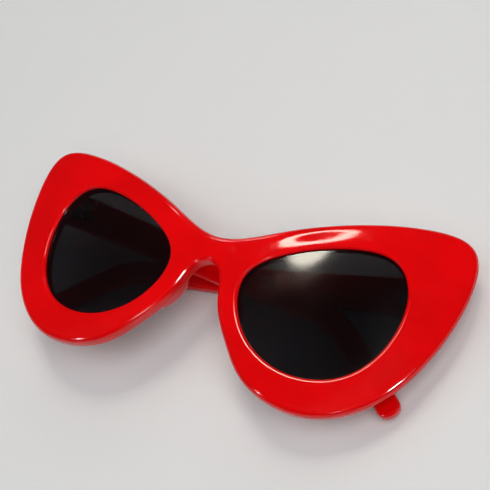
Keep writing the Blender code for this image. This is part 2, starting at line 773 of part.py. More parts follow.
def main():
    """Build the sunglasses."""
    root = make_empty("sunglasses_rest")
    pivots = {}
    for word, side in SIDES.items():
        pivots[word] = make_empty(word + "_hinge_axis", root, hinge_axis(side))
    build_front(root)
    build_lenses(root)
    build_nose_pads(root)
    build_hinges(root, pivots)
    build_temples(pivots)
    for word, side in SIDES.items():
        pivots[word].rotation_euler.z = side * FOLD[word]
    lay_down(root)
    bpy.context.view_layer.update()


clear_scene()
PARTS = make_collection("cat_eye_sunglasses")
CUTTERS = make_collection("cutters")
main()
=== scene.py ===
"""Cat eye sunglasses, finished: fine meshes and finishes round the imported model.

The front, lenses, nose pads, temples and hinges are made again here as fine meshes
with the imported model's sizes, the front's outline a little further out. The front is
drawn on a flat sheet, u across and v up, and bent round a cylinder. Each temple is
drawn open, for the wearer's left, with its hinge axis at its origin, and is then
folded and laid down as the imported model's joints say. Lengths are in metres.
"""

import json
import logging
import math
from dataclasses import dataclass, field
from enum import Enum
from typing import Sequence

import bmesh
import bpy
import numpy as np
from mathutils import Matrix, Vector
from mathutils.geometry import delaunay_2d_cdt

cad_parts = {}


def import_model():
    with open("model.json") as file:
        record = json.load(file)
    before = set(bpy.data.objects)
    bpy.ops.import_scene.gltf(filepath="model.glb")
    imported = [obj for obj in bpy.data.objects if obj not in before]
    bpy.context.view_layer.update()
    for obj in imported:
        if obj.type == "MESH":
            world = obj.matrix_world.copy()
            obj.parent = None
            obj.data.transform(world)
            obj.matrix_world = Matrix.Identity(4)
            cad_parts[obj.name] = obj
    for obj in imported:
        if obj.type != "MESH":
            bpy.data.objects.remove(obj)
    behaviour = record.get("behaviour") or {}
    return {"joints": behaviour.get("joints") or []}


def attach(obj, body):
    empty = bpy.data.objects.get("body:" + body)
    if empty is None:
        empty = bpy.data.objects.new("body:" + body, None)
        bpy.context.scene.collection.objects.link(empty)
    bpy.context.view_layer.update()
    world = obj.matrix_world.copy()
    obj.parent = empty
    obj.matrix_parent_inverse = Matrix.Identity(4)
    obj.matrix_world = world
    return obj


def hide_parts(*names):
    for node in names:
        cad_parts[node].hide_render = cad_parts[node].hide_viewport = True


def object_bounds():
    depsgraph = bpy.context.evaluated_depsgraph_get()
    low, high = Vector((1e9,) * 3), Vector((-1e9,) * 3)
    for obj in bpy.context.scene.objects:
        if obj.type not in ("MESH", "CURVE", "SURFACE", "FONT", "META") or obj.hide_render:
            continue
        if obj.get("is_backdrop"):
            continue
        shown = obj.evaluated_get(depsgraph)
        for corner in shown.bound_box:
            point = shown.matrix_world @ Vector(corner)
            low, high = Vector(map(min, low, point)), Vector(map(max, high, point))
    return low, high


LOG = logging.getLogger("sunglasses")
MM = 0.001
SHARP = math.radians(35.0)
STEPS_PER_SPAN = 120
DISTANCE_BATCHES = 40
LEAST_DISTANCE = 0.02 * MM
Loop = np.ndarray


class Side(Enum):
    """A side of the wearer's face; +X is the wearer's left."""

    LEFT = 1.0
    RIGHT = -1.0

    @property
    def word(self) -> str:
        """Return the side's name in lower case."""
        return self.name.lower()


class Body(Enum):
    """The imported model's moving bodies."""

    FRONT = "front"
    LEFT_ARM = "left_arm"
    RIGHT_ARM = "right_arm"

    @staticmethod
    def arm(side: Side) -> "Body":
        """Return the body of the temple on a side."""
        return Body.LEFT_ARM if side is Side.LEFT else Body.RIGHT_ARM


class Slot(Enum):
    """The record's material slots."""

    FRAME = "frame"
    LENS = "lens"
    NOSE_PAD = "nose_pad"
    HINGE = "hinge"
    CORE_WIRE = "core_wire"


# ------------------------------------------------------------------ curves
def smooth_loop(points: Sequence[tuple[float, float]], count: int) -> Loop:
    """Draw a smooth closed curve through points.

    Args:
        points: The points that the curve passes through, in order.
        count: How many points to return.

    Returns:
        Points at even steps along the curve, without repeating the first.
    """
    knots = np.array(points, dtype=float)
    n = len(knots)
    gaps = np.sqrt(np.linalg.norm(np.roll(knots, -1, axis=0) - knots, axis=1))
    system = np.zeros((n, n))
    right = np.zeros((n, 2))
    for i in range(n):
        before, after = gaps[i - 1], gaps[i]
        system[i, i - 1] += after
        system[i, i] += 2.0 * (before + after)
        system[i, (i + 1) % n] += before
        step_before = (knots[i] - knots[i - 1]) / before
        step_after = (knots[(i + 1) % n] - knots[i]) / after
        right[i] = 3.0 * (after * step_before + before * step_after)
    slopes = np.linalg.solve(system, right)
    fine = []
    for i in range(n):
        j = (i + 1) % n
        for t in np.linspace(0.0, 1.0, STEPS_PER_SPAN, endpoint=False):
            a = (1 + 2 * t) * (1 - t) ** 2
            b = t * (1 - t) ** 2 * gaps[i]
            c = t * t * (3 - 2 * t)
            d = t * t * (t - 1) * gaps[i]
            fine.append(a * knots[i] + b * slopes[i] + c * knots[j] + d * slopes[j])
    return even_steps(np.array(fine + fine[:1]), count + 1)[:-1]


def even_steps(line: Loop, count: int, turn_weight: float = 0.0) -> Loop:
    """Spread points along a polyline, closer together where it turns.

    Args:
        line: The polyline.
        count: How many points to return, both ends included.
        turn_weight: The length that one radian of turn counts for.

    Returns:
        The spread points.
    """
    steps = np.diff(line, axis=0)
    lengths = np.linalg.norm(steps, axis=1)
    bearing = np.unwrap(np.arctan2(steps[:, 1], steps[:, 0]))
    turns = np.abs(np.diff(bearing, prepend=bearing[0]))
    run = np.concatenate([[0.0], np.cumsum(lengths + turn_weight * turns)])
    places = np.linspace(0.0, run[-1], count)
    return np.stack([np.interp(places, run, line[:, k]) for k in range(2)], axis=1)


def offset_loop(loop: Loop, distance: float) -> Loop:
    """Move a closed loop outwards, or inwards by a negative distance.

    Args:
        loop: The loop's points.
        distance: How far it moves along its own normals.

    Returns:
        The moved points, in the same order.
    """
    run = np.roll(loop, -1, axis=0) - np.roll(loop, 1, axis=0)
    run /= np.linalg.norm(run, axis=1)[:, None]
    normal = np.stack([run[:, 1], -run[:, 0]], axis=1)
    ahead = np.roll(loop, -1, axis=0)
    area = np.sum(loop[:, 0] * ahead[:, 1] - ahead[:, 0] * loop[:, 1])
    return loop + distance * np.sign(area) * normal


def inside(loop: Loop, spots: np.ndarray) -> np.ndarray:
    """Tell which spots lie inside a closed loop.

    Args:
        loop: The loop's points.
        spots: The spots to test, one in each row.

    Returns:
        One truth value for each spot.
    """
    ahead = np.roll(loop, -1, axis=0)
    odd = np.zeros(len(spots), dtype=bool)
    for (x0, y0), (x1, y1) in zip(loop, ahead):
        if y0 == y1:
            continue
        crosses = (y0 > spots[:, 1]) != (y1 > spots[:, 1])
        odd ^= crosses & (spots[:, 0] < (x1 - x0) * (spots[:, 1] - y0) / (y1 - y0) + x0)
    return odd


def gentle_distance(spots: np.ndarray, loops: Sequence[Loop]) -> np.ndarray:
    """Measure a distance to the nearest edge that has no creases.

    It is the true distance close to an edge, and rounds off half way between two.

    Args:
        spots: The spots to measure from, one in each row.
        loops: The closed edges, as finely spaced points.

    Returns:
        One distance for each spot.
    """
    pull = np.zeros(len(spots))
    for loop in loops:
        share = np.linalg.norm(np.roll(loop, -1, axis=0) - loop, axis=1)
        for part in np.array_split(np.arange(len(spots)), DISTANCE_BATCHES):
            gap = spots[part, None, :] - loop[None, :, :]
            square = np.maximum(np.sum(gap * gap, axis=2), LEAST_DISTANCE**2)
            pull[part] += np.sum(share / square**2, axis=1)
    return np.cbrt(math.pi / 2.0 / pull)


# ------------------------------------------------------------------ meshes
def settle_mesh(mesh: bpy.types.Mesh, name: str) -> bpy.types.Mesh:
    """Name a mesh and shade it smooth up to its sharp edges.

    Args:
        mesh: The mesh.
        name: Its new name.

    Returns:
        The same mesh.
    """
    mesh.name = name
    mesh.shade_smooth()
    mesh.set_sharp_from_angle(angle=SHARP)
    return mesh


def mesh_of(work: bmesh.types.BMesh, name: str) -> bpy.types.Mesh:
    """Turn a bmesh into a mesh whose faces point out.

    Args:
        work: The bmesh, which is freed.
        name: The mesh's name.

    Returns:
        The mesh.
    """
    bmesh.ops.remove_doubles(work, verts=work.verts, dist=1e-8)
    bmesh.ops.recalc_face_normals(work, faces=work.faces)
    mesh = bpy.data.meshes.new(name)
    work.to_mesh(mesh)
    work.free()
    return settle_mesh(mesh, name)


def add_object(name: str, mesh: bpy.types.Mesh) -> bpy.types.Object:
    """Put a mesh in the scene.

    Args:
        name: The object's name.
        mesh: Its mesh.

    Returns:
        The new object, at the origin.
    """
    thing = bpy.data.objects.new(name, mesh)
    bpy.context.scene.collection.objects.link(thing)
    return thing


def baked(thing: bpy.types.Object) -> bpy.types.Mesh:
    """Return an object's mesh with its modifiers applied, and remove the object."""
    bpy.context.view_layer.update()
    graph = bpy.context.evaluated_depsgraph_get()
    mesh = bpy.data.meshes.new_from_object(thing.evaluated_get(graph))
    bpy.data.objects.remove(thing, do_unlink=True)
    return mesh


def box_mesh(low: Sequence[float], high: Sequence[float]) -> bpy.types.Mesh:
    """Make a box.

    Args:
        low: Its lowest corner.
        high: Its highest corner.

    Returns:
        The box's mesh.
    """
    work = bmesh.new()
    made = bmesh.ops.create_cube(work, size=1.0)
    span = Vector(high) - Vector(low)
    bmesh.ops.scale(work, vec=span, verts=made["verts"])
    bmesh.ops.translate(work, vec=Vector(low) + span / 2, verts=made["verts"])
    return mesh_of(work, "box")


def combined(
    base: bpy.types.Mesh,
    joined: Sequence[bpy.types.Mesh] = (),
    removed: Sequence[bpy.types.Mesh] = (),
    bevel: float = 0.0,
) -> bpy.types.Mesh:
    """Join solids, cut others away and round the edges that are left.

    Args:
        base: The solid to start from.
        joined: Solids to add to it.
        removed: Solids to cut from it.
        bevel: How far the sharp edges are rounded.

    Returns:
        The finished mesh.
    """
    holder = add_object("holder", base)
    helpers = []
    for meshes, operation in ((joined, "UNION"), (removed, "DIFFERENCE")):
        for mesh in meshes:
            helper = add_object("helper", mesh)
            modifier = holder.modifiers.new("join", "BOOLEAN")
            modifier.operation = operation
            modifier.solver = "EXACT"
            modifier.object = helper
            helpers.append(helper)
    if bevel:
        rounding = holder.modifiers.new("edges", "BEVEL")
        rounding.width = bevel
        rounding.segments = 3
        rounding.limit_method = "ANGLE"
        rounding.angle_limit = SHARP
    mesh = baked(holder)
    for helper in helpers:
        bpy.data.objects.remove(helper, do_unlink=True)
    return mesh


def placed(mesh: bpy.types.Mesh, side: Side, matrix: Matrix, name: str) -> bpy.types.Mesh:
    """Mirror a mesh if it is for the right side, and put it in its place.

    Args:
        mesh: A mesh drawn for the wearer's left.
        side: The side it is for.
        matrix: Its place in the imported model's frame.
        name: The new mesh's name.

    Returns:
        A new mesh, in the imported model's frame.
    """
    work = bmesh.new()
    work.from_mesh(mesh)
    if side is Side.RIGHT:
        bmesh.ops.scale(work, vec=(-1.0, 1.0, 1.0), verts=work.verts)
        bmesh.ops.reverse_faces(work, faces=work.faces)
    bmesh.ops.transform(work, matrix=matrix, verts=work.verts)
    result = bpy.data.meshes.new(name)
    work.to_mesh(result)
    work.free()
    return settle_mesh(result, name)


@dataclass
class Piece:
    """One finished piece: what it is made of, rides on and stands for."""

    name: str
    mesh: bpy.types.Mesh
    material: bpy.types.Material
    body: Body
    slot: Slot
    nodes: tuple[str, ...] = ()

    def place(self) -> bpy.types.Object:
        """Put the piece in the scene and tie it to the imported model.

        Returns:
            The piece's object.
        """
        thing = add_object(self.name, self.mesh)
        self.mesh.materials.clear()
        self.mesh.materials.append(self.material)
        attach(thing, self.body.value)
        if self.nodes:
            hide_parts(*self.nodes)
        LOG.info("%s: %d faces on %s", self.name, len(self.mesh.polygons), self.body.value)
        return thing


# ------------------------------------------------------------------ resting place
@dataclass
class RestingPlace:
    """Where the front and the folded temples lie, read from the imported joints."""

    joints: list[dict]
    spread: float = math.radians(1.0)

    def joint(self, side: Side) -> dict:
        """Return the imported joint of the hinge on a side."""
        return next(j for j in self.joints if j["child"] == Body.arm(side).value)

    def hinge_point(self, side: Side) -> Vector:
        """Return the hinge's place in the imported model's frame."""
        return Vector(self.joint(side)["pos_m"])

    def turn(self) -> Matrix:
        """Return the front's rotation: its own X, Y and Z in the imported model's frame."""
        up = Vector(self.joint(Side.RIGHT)["axis"]).normalized()
        across = self.hinge_point(Side.LEFT) - self.hinge_point(Side.RIGHT)
        across = (across - across.dot(up) * up).normalized()
        return Matrix((across, up.cross(across), up)).transposed()

    def front(self, hinge_in_front: Vector) -> Matrix:
        """Work out where the front lies.

        Args:
            hinge_in_front: The left hinge's place in the front's own frame.

        Returns:
            The front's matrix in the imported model's frame.
        """
        turn = self.turn()
        shift = self.hinge_point(Side.LEFT) - turn @ hinge_in_front
        return Matrix.Translation(shift) @ turn.to_4x4()

    def temple(self, side: Side) -> Matrix:
        """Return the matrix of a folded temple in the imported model's frame."""
        fold = math.radians(self.joint(side)["range_deg"][1]) - self.spread
        place = Matrix.Translation(self.hinge_point(side)) @ self.turn().to_4x4()
        return place @ Matrix.Rotation(side.value * fold, 4, "Z")

    def hinge(self, side: Side) -> Matrix:
        """Return the matrix of a hinge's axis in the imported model's frame."""
        return Matrix.Translation(self.hinge_point(side)) @ self.turn().to_4x4()


# ------------------------------------------------------------------ front
@dataclass
class Front:
    """The front: one thick polished plate with a lens opening on each side.

    The outline and the opening are in shares of half the width and half the height. The
    polished face falls away from its middle: by shoulder_drop towards the outline, over
    about shoulder_reach, and by opening_drop towards an opening, over about opening_reach.
    The outline stands edge_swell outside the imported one. Beside each rounded edge lie
    band_rows rows of points, band_step apart, so that reflections there run evenly.
    """

    width: float = 150.0 * MM
    height: float = 62.0 * MM
    thickness: float = 5.5 * MM
    face_radius: float = 260.0 * MM
    edge_round: float = 1.5 * MM
    opening_round: float = 0.8 * MM
    lens_thickness: float = 2.0 * MM
    lens_setback: float = 1.3 * MM
    lens_bite: float = 0.8 * MM
    clearance: float = 0.3 * MM
    hinge_place: float = 67.0 * MM
    hinge_height: float = 16.1 * MM
    axis_standoff: float = 2.2 * MM
    shoulder_drop: float = 0.60 * MM
    shoulder_reach: float = 1.6 * MM
    opening_reach: float = 1.0 * MM
    edge_swell: float = 0.5 * MM
    band_rows: int = 5
    band_step: float = 0.4 * MM
    opening_drop: float = 0.12 * MM
    back_drop: float = 0.25 * MM
    grain: float = 1.15 * MM
    curve_points: int = 1600
    off_middle: float = 0.01 * MM
    edge_points: int = 400
    turn_weight: float = 9.0 * MM
    outline: tuple[tuple[float, float], ...] = (
        (0.0, 0.377), (0.224, 0.565), (0.396, 0.755), (0.580, 0.910), (0.776, 1.019),
        (0.964, 0.965), (0.991, 0.400), (0.916, -0.210), (0.797, -0.668), (0.573, -0.984),
        (0.324, -0.887), (0.199, -0.597), (0.111, -0.284), (0.073, -0.020), (0.043, 0.100),
        (0.0, 0.142),
    )
    opening: tuple[tuple[float, float], ...] = (
        (0.483, 0.584), (0.689, 0.626), (0.783, 0.342), (0.761, -0.203), (0.636, -0.584),
        (0.431, -0.684), (0.231, -0.413), (0.168, 0.077), (0.297, 0.390),
    )

    def on_face(self, u: float, v: float, depth: float = 0.0) -> Vector:
        """Bend a spot of the flat sheet round the face's cylinder.

        Args:
            u: How far across it is.
            v: How far up it is.
            depth: How far behind the face it is.

        Returns:
            The point in the front's own frame.
        """
        turn = u / self.face_radius
        reach = self.face_radius - depth
        return Vector((reach * math.sin(turn), self.face_radius - reach * math.cos(turn), v))

    def face_frame(self, u: float, v: float, depth: float = 0.0) -> Matrix:
        """Return the matrix whose X runs across and Y runs back at a place on the front."""
        turn = Matrix.Rotation(u / self.face_radius, 4, "Z")
        return Matrix.Translation(self.on_face(u, v, depth)) @ turn

    def side_frame(self, side: Side) -> Matrix:
        """Return the frame on the back of the front behind the hinge of a side."""
        return self.face_frame(side.value * self.hinge_place, self.hinge_height, self.thickness)

    def hinge_axis(self) -> Vector:
        """Return the foot of the left hinge's axis in the front's own frame."""
        return self.side_frame(Side.LEFT) @ Vector((0.0, self.axis_standoff, 0.0))

    def outer_edge(self, count: int) -> Loop:
        """Draw the outline of the whole front.

        Args:
            count: How many points each half has.

        Returns:
            The closed outline, both halves alike.
        """
        half = [(u * self.width / 2, v * self.height / 2) for u, v in self.outline]
        mirrored = [(-u, v) for u, v in half[-2:0:-1]]
        loop = smooth_loop(half + mirrored, self.curve_points)
        side = loop[: len(loop) // 2 + 2]
        side = side[side[:, 0] > self.off_middle]
        line = np.concatenate([[half[0]], side, [half[-1]]])
        line = even_steps(line, count, turn_weight=self.turn_weight)
        loop = np.concatenate([line, (line * [-1.0, 1.0])[-2:0:-1]])
        return offset_loop(loop, self.edge_swell)

    def opening_edge(self, side: Side, count: int = 260) -> Loop:
        """Draw the edge of a lens opening.

        Args:
            side: The side it is on.
            count: How many points it has.

        Returns:
            The closed edge.
        """
        points = [(u * self.width / 2, v * self.height / 2) for u, v in self.opening]
        return smooth_loop(points, count) * [side.value, 1.0]

    def sheet_grain(self, outer: Loop, openings: Sequence[Loop]) -> np.ndarray:
        """Scatter spots evenly over the face, clear of its edges.

        Args:
            outer: The outline.
            openings: The edges of the lens openings.

        Returns:
            The spots, one in each row.
        """
        rows = int(self.height / self.grain)
        columns = int(self.width / self.grain)
        spots = []
        for row in range(-rows, rows + 1):
            for column in range(-columns, columns + 1):
                u = (column + (row % 2) / 2) * self.grain
                v = row * self.grain * math.sqrt(3.0) / 2
                if abs(u) < self.width / 2 and abs(v) < self.height / 2 + self.grain:
                    spots.append((u, v))
        grid = np.array(spots)
        margin = self.band_rows * self.band_step + 0.5 * self.grain
        room = offset_loop(outer, -self.edge_round - margin)
        grid = grid[inside(room, grid)]
        for edge in openings:
            grid = grid[~inside(offset_loop(edge, self.opening_round + margin), grid)]
        return grid

    def rounding(self, radius: float, steps: int) -> list[tuple[float, float]]:
        """List how far in and how deep each row of a rounded edge lies.

        Args:
            radius: The edge's radius.
            steps: How many rows it has after the first.

        Returns:
            Pairs of inset and depth, from the side wall to the face.
        """
        angles = [math.pi / 2 * (1.0 - step / steps) for step in range(steps + 1)]
        return [(radius * (1 - math.sin(a)), radius * (1 - math.cos(a))) for a in angles]

    def band(self, radius: float) -> list[tuple[float, float]]:
        """List the even rows on the face beside an edge of a radius, as rounding does."""
        return [(radius + row * self.band_step, 0.0) for row in range(1, self.band_rows + 1)]

    def sheet(self) -> tuple[np.ndarray, np.ndarray, np.ndarray, list[np.ndarray]]:
        """Lay out the flat sheet that both faces of the front are made from.

        Returns:
            The spots, the depth that edge rounding gives each, the triangles, and the
            numbers of the spots along the outline and each opening.
        """
        outer = self.outer_edge(self.edge_points)
        openings = [self.opening_edge(side) for side in Side]
        spots, depths, borders, count = [], [], [], 0
        for edge, inward, radius, steps in (
            (outer, -1.0, self.edge_round, 7),
            (openings[0], 1.0, self.opening_round, 4),
            (openings[1], 1.0, self.opening_round, 4),
        ):
            rows = self.rounding(radius, steps) + self.band(radius)
            for row, (inset, depth) in enumerate(rows):
                if row == 0:
                    borders.append(np.arange(count, count + len(edge)))
                spots.append(offset_loop(edge, inward * inset))
                depths.append(np.full(len(edge), depth))
                count += len(edge)
        grid = self.sheet_grain(outer, openings)
        spots.append(grid)
        depths.append(np.zeros(len(grid)))
        spots = np.concatenate(spots)
        depths = np.concatenate(depths)
        rims = [(int(a), int(b)) for border in borders for a, b in zip(border, np.roll(border, -1))]
        flat = [Vector(spot) / MM for spot in spots]
        verts, _, faces, origins, _, _ = delaunay_2d_cdt(flat, rims, [], 0, 1e-7)
        number = np.array([origin[0] for origin in origins])
        triangles = number[np.array([list(face) for face in faces])]
        centres = spots[triangles].mean(axis=1)
        keep = inside(outer, centres)
        for edge in openings:
            keep &= ~inside(edge, centres)
        LOG.info("front sheet: %d spots, %d triangles", len(verts), int(keep.sum()))
        return spots, depths, triangles[keep], borders

    def mesh(self) -> bpy.types.Mesh:
        """Make the front: both faces, the side wall and the grooved openings.

        Returns:
            The closed mesh in the front's own frame.
        """
        spots, rounded, triangles, borders = self.sheet()
        outline = [self.outer_edge(4 * self.edge_points)]
        openings = [self.opening_edge(side, 1000) for side in Side]
        from_outline = gentle_distance(spots, outline)
        from_opening = gentle_distance(spots, openings)
        slope = np.exp(-from_outline / self.shoulder_reach)
        inner_slope = np.exp(-from_opening / self.opening_reach)
        fronts = rounded + self.shoulder_drop * slope + self.opening_drop * inner_slope
        backs = self.thickness - rounded - self.back_drop * (slope + inner_slope)
        work = bmesh.new()
        rows = []
        for depth in (fronts, backs):
            rows.append([work.verts.new(self.on_face(u, v, d)) for (u, v), d in zip(spots, depth)])
        for a, b, c in triangles:
            work.faces.new([rows[0][i] for i in (a, b, c)])
            work.faces.new([rows[1][i] for i in (c, b, a)])
        self.wall(work, [rows[0][i] for i in borders[0]], [rows[1][i] for i in borders[0]])
        for border, side in zip(borders[1:], Side):
            last = [rows[0][i] for i in border]
            edge = self.opening_edge(side)
            for offset, depth in self.groove():
                ring = offset_loop(edge, offset)
                row = [work.verts.new(self.on_face(u, v, depth)) for u, v in ring]
                self.wall(work, last, row)
                last = row
            self.wall(work, last, [rows[1][i] for i in border])
        return mesh_of(work, "front")

    def groove(self) -> list[tuple[float, float]]:
        """List the corners of the groove that a lens sits in, as offset and depth."""
        near = self.lens_setback - self.clearance
        far = self.lens_setback + self.lens_thickness + self.clearance
        deep = self.lens_bite + self.clearance
        return [(0.0, near), (deep, near), (deep, far), (0.0, far)]

    @staticmethod
    def wall(work: bmesh.types.BMesh, first: list, second: list) -> None:
        """Join two closed rows of vertices with faces."""
        for i in range(len(first)):
            j = (i + 1) % len(first)
            work.faces.new((first[i], first[j], second[j], second[i]))

    def lens_mesh(self, rows: int = 26, edge_round: float = 0.15 * MM) -> bpy.types.Mesh:
        """Make the left lens: a curved plate that reaches into the groove.

        Args:
            rows: How many rings it has from its edge to its middle.
            edge_round: The radius of its rim.

        Returns:
            The closed mesh in the front's own frame.
        """
        edge = offset_loop(self.opening_edge(Side.LEFT), self.lens_bite)
        centre = edge.mean(axis=0)
        work = bmesh.new()
        faces = []
        for front in (True, False):
            base = self.lens_setback if front else self.lens_setback + self.lens_thickness
            inward = 1.0 if front else -1.0
            rings = []
            for inset, depth in self.rounding(edge_round, 3):
                ring = offset_loop(edge, -inset)
                rings.append([self.on_face(u, v, base + inward * depth) for u, v in ring])
            for row in range(1, rows):
                ring = centre + (offset_loop(edge, -edge_round) - centre) * (1.0 - row / rows)
                rings.append([self.on_face(u, v, base) for u, v in ring])
            made = [[work.verts.new(point) for point in ring] for ring in rings]
            for first, second in zip(made, made[1:]):
                self.wall(work, first, second)
            middle = work.verts.new(self.on_face(*centre, base))
            last = made[-1]
            for i in range(len(last)):
                work.faces.new((last[i], last[(i + 1) % len(last)], middle))
            faces.append(made[0])
        self.wall(work, faces[0], faces[1])
        return mesh_of(work, "lens")


@dataclass
class NosePads:
    """The pads moulded on the back of the rims, where the nose carries the front."""

    place: float = 10.8 * MM
    drop: float = 6.51 * MM
    width: float = 5.6 * MM
    length: float = 14.0 * MM
    depth: float = 5.5 * MM
    tilt: float = math.radians(28.0)
    root: float = 0.8 * MM

    def mesh(self) -> bpy.types.Mesh:
        """Make the left pad: half an ellipsoid on a short root that sinks into the rim.

        Returns:
            The closed mesh, Y running back from the rim.
        """
        work = bmesh.new()
        bmesh.ops.create_uvsphere(work, u_segments=64, v_segments=40, radius=0.5)
        bmesh.ops.rotate(work, cent=(0, 0, 0), matrix=Matrix.Rotation(math.pi / 2, 3, "X"),
                         verts=work.verts)
        size = (self.width, 2 * self.depth, self.length)
        bmesh.ops.scale(work, vec=size, verts=work.verts)
        for vert in work.verts:
            if vert.co.y < 0.0:
                vert.co.y = max(vert.co.y, -self.root)
        turn = Matrix.Rotation(-self.tilt, 4, "Y")
        bmesh.ops.transform(work, matrix=turn, verts=work.verts)
        return mesh_of(work, "nose_pad")


# ------------------------------------------------------------------ temples
@dataclass
class Temple:
    """A temple: a tapered flat bar with a bent tail, drawn open for the wearer's left."""

    straight: float = 95.0 * MM
    bend_radius: float = 25.0 * MM
    bend_angle: float = math.radians(34.0)
    tail: float = 27.0 * MM
    height: float = 12.0 * MM
    tail_height: float = 7.0 * MM
    thickness: float = 3.8 * MM
    slope: float = math.radians(8.0)
    hook_start: float = 84.0 * MM
    hook: float = 1.5 * MM
    edge_round: float = 1.1 * MM
    crown: float = 0.25 * MM
    tip_round_length: float = 3.0 * MM
    tip_end_share: float = 0.4
    axis_standoff: float = 2.2 * MM
    open_gap: float = 0.4 * MM
    mitre: float = 67.0 / 260.0
    wire_radius: float = 0.6 * MM
    wire_depth: float = 1.9 * MM
    wire_end_cover: float = 8.0 * MM
    corner_points: int = 6
    face_points: int = 6

    def length(self) -> float:
        """Return the length along the middle line from the hinge axis."""
        return self.straight + self.bend_radius * self.bend_angle + self.tail

    def line(self, s: float) -> tuple[Vector, float, float]:
        """Follow the temple's middle line.

        Args:
            s: The length along it from the hinge axis.

        Returns:
            The place, back and up; the slant; and how far the hook leans inwards.
        """
        bend = min(max(s - self.straight, 0.0), self.bend_radius * self.bend_angle)
        turn = bend / self.bend_radius
        tail = max(s - self.straight - bend, 0.0)
        along = min(s, self.straight) + self.bend_radius * math.sin(turn) + tail * math.cos(turn)
        drop = self.bend_radius * (1 - math.cos(turn)) + tail * math.sin(turn)
        place = Vector((along, -drop))
        place.rotate(Matrix.Rotation(-self.slope, 2))
        hook_run = (s - self.hook_start) / (self.length() - self.hook_start)
        return place, turn + self.slope, self.hook * max(hook_run, 0.0) ** 2

    def half_height(self, s: float) -> float:
        """Return half the height at a length along the line, rounded off at the tip."""
        taper = min(max(s / self.straight, 0.0), 1.0)
        half = (self.height + (self.tail_height - self.height) * taper) / 2
        left = max(self.length() - s, 0.0)
        if left < self.tip_round_length:
            sunk = (1.0 - self.tip_end_share**2) * (1.0 - left / self.tip_round_length) ** 2
            half *= math.sqrt(1.0 - sunk)
        return half

    def point(self, s: float, height: float, depth: float) -> Vector:
        """Return the point at s, a height off the line and a depth from the inner face."""
        place, slant, shift = self.line(s)
        return Vector((
            self.axis_standoff + depth - shift,
            place.x + height * math.sin(slant),
            place.y + height * math.cos(slant),
        ))

    def section(self, half: float, inset: float) -> list[tuple[float, float]]:
        """Draw the temple's cross section: a rectangle with round corners.

        Args:
            half: Half the height there.
            inset: How far the whole section is drawn in, at the rounded end.

        Returns:
            Pairs of height and depth round the section.
        """
        radius = max(self.edge_round - inset, 0.05 * MM)
        high = half - inset - radius
        near, far = inset + radius, self.thickness - inset - radius
        ring = []
        for quarter, (h, d) in enumerate(((high, far), (-high, far), (-high, near), (high, near))):
            for step in range(self.corner_points + 1):
                angle = math.pi / 2 * (quarter + step / self.corner_points)
                ring.append((h + radius * math.cos(angle), d + radius * math.sin(angle)))
            if quarter % 2 == 0:
                face = ring[-1][1]
                shares = [step / self.face_points for step in range(1, self.face_points)]
                ring += [(h * (1 - 2 * share), face) for share in shares]
        drop = self.crown / (half * half * self.thickness)
        return [(h, d - drop * h * h * d) for h, d in ring]

    def stations(self) -> list[tuple[float, float]]:
        """List the stations along the temple, as length and inset of the section."""
        last = self.length() - self.edge_round
        start = -3 * self.axis_standoff
        along = list(np.linspace(start, self.hook_start, 40, endpoint=False))
        along += list(np.linspace(self.hook_start, last, 70, endpoint=False))
        stations = [(s, 0.0) for s in along]
        for angle in np.linspace(0.0, math.pi / 2, 9):
            inset = self.edge_round * (1 - math.cos(angle))
            stations.append((last + self.edge_round * math.sin(angle), inset))
        return stations

    def loft(self, rows: list[list[Vector]]) -> bmesh.types.BMesh:
        """Join rows of points into a closed bar.

        Args:
            rows: Closed rows of as many points each.

        Returns:
            The bar as a bmesh, with a cap on both ends.
        """
        work = bmesh.new()
        made = [[work.verts.new(point) for point in row] for row in rows]
        for first, second in zip(made, made[1:]):
            Front.wall(work, first, second)
        work.faces.new(made[0])
        work.faces.new(made[-1])
        bmesh.ops.recalc_face_normals(work, faces=work.faces)
        return work

    def bar(self) -> bpy.types.Mesh:
        """Make the whole bar, its end mitred to the back of the front."""
        rows = []
        for s, inset in self.stations():
            ring = self.section(self.half_height(s), inset)
            rows.append([self.point(s, height, depth) for height, depth in ring])
        work = self.loft(rows)
        mitre = Matrix.Rotation(self.mitre, 3, "Z") @ Vector((0.0, 1.0, 0.0))
        geometry = list(work.verts) + list(work.edges) + list(work.faces)
        cutting = bmesh.ops.bisect_plane(
            work, geom=geometry, plane_co=mitre * (self.open_gap - self.axis_standoff),
            plane_no=mitre, clear_inner=True,
        )
        rim = [e for e in cutting["geom_cut"] if isinstance(e, bmesh.types.BMEdge)]
        bmesh.ops.contextual_create(work, geom=rim)
        return mesh_of(work, "bar")

    def channel(self, start: float, end: float, radius: float) -> bpy.types.Mesh:
        """Make the round channel that the core wire lies in.

        Args:
            start: Where it starts, along the middle line.
            end: Where it ends.
            radius: Its radius.

        Returns:
            The channel as a closed mesh, for cutting.
        """
        rows = []
        for s in np.linspace(start, end, 60):
            angles = [2 * math.pi * k / 20 for k in range(20)]
            rows.append([
                self.point(s, radius * math.cos(a), self.wire_depth + radius * math.sin(a))
                for a in angles
            ])
        return mesh_of(self.loft(rows), "channel")

    def mesh(self, hinge: "Hinge") -> bpy.types.Mesh:
        """Make the temple with the pocket for the hinge's leaf and the wire's channel.

        Args:
            hinge: The hinge that the pocket holds a leaf of.

        Returns:
            The closed mesh, the hinge axis at its origin.
        """
        room = hinge.clearance
        half = hinge.barrel_length / 2 + room
        pocket = box_mesh(
            (self.axis_standoff - 1.0 * MM, -4 * self.axis_standoff, -half),
            (self.axis_standoff + hinge.leaf_thickness + room, self.pocket_end(hinge), half),
        )
        start = self.wire_start(hinge) - 1.0 * MM
        channel = self.channel(start, self.wire_end() + room, self.wire_radius + room)
        return settle_mesh(combined(self.bar(), removed=[pocket, channel]), "temple")

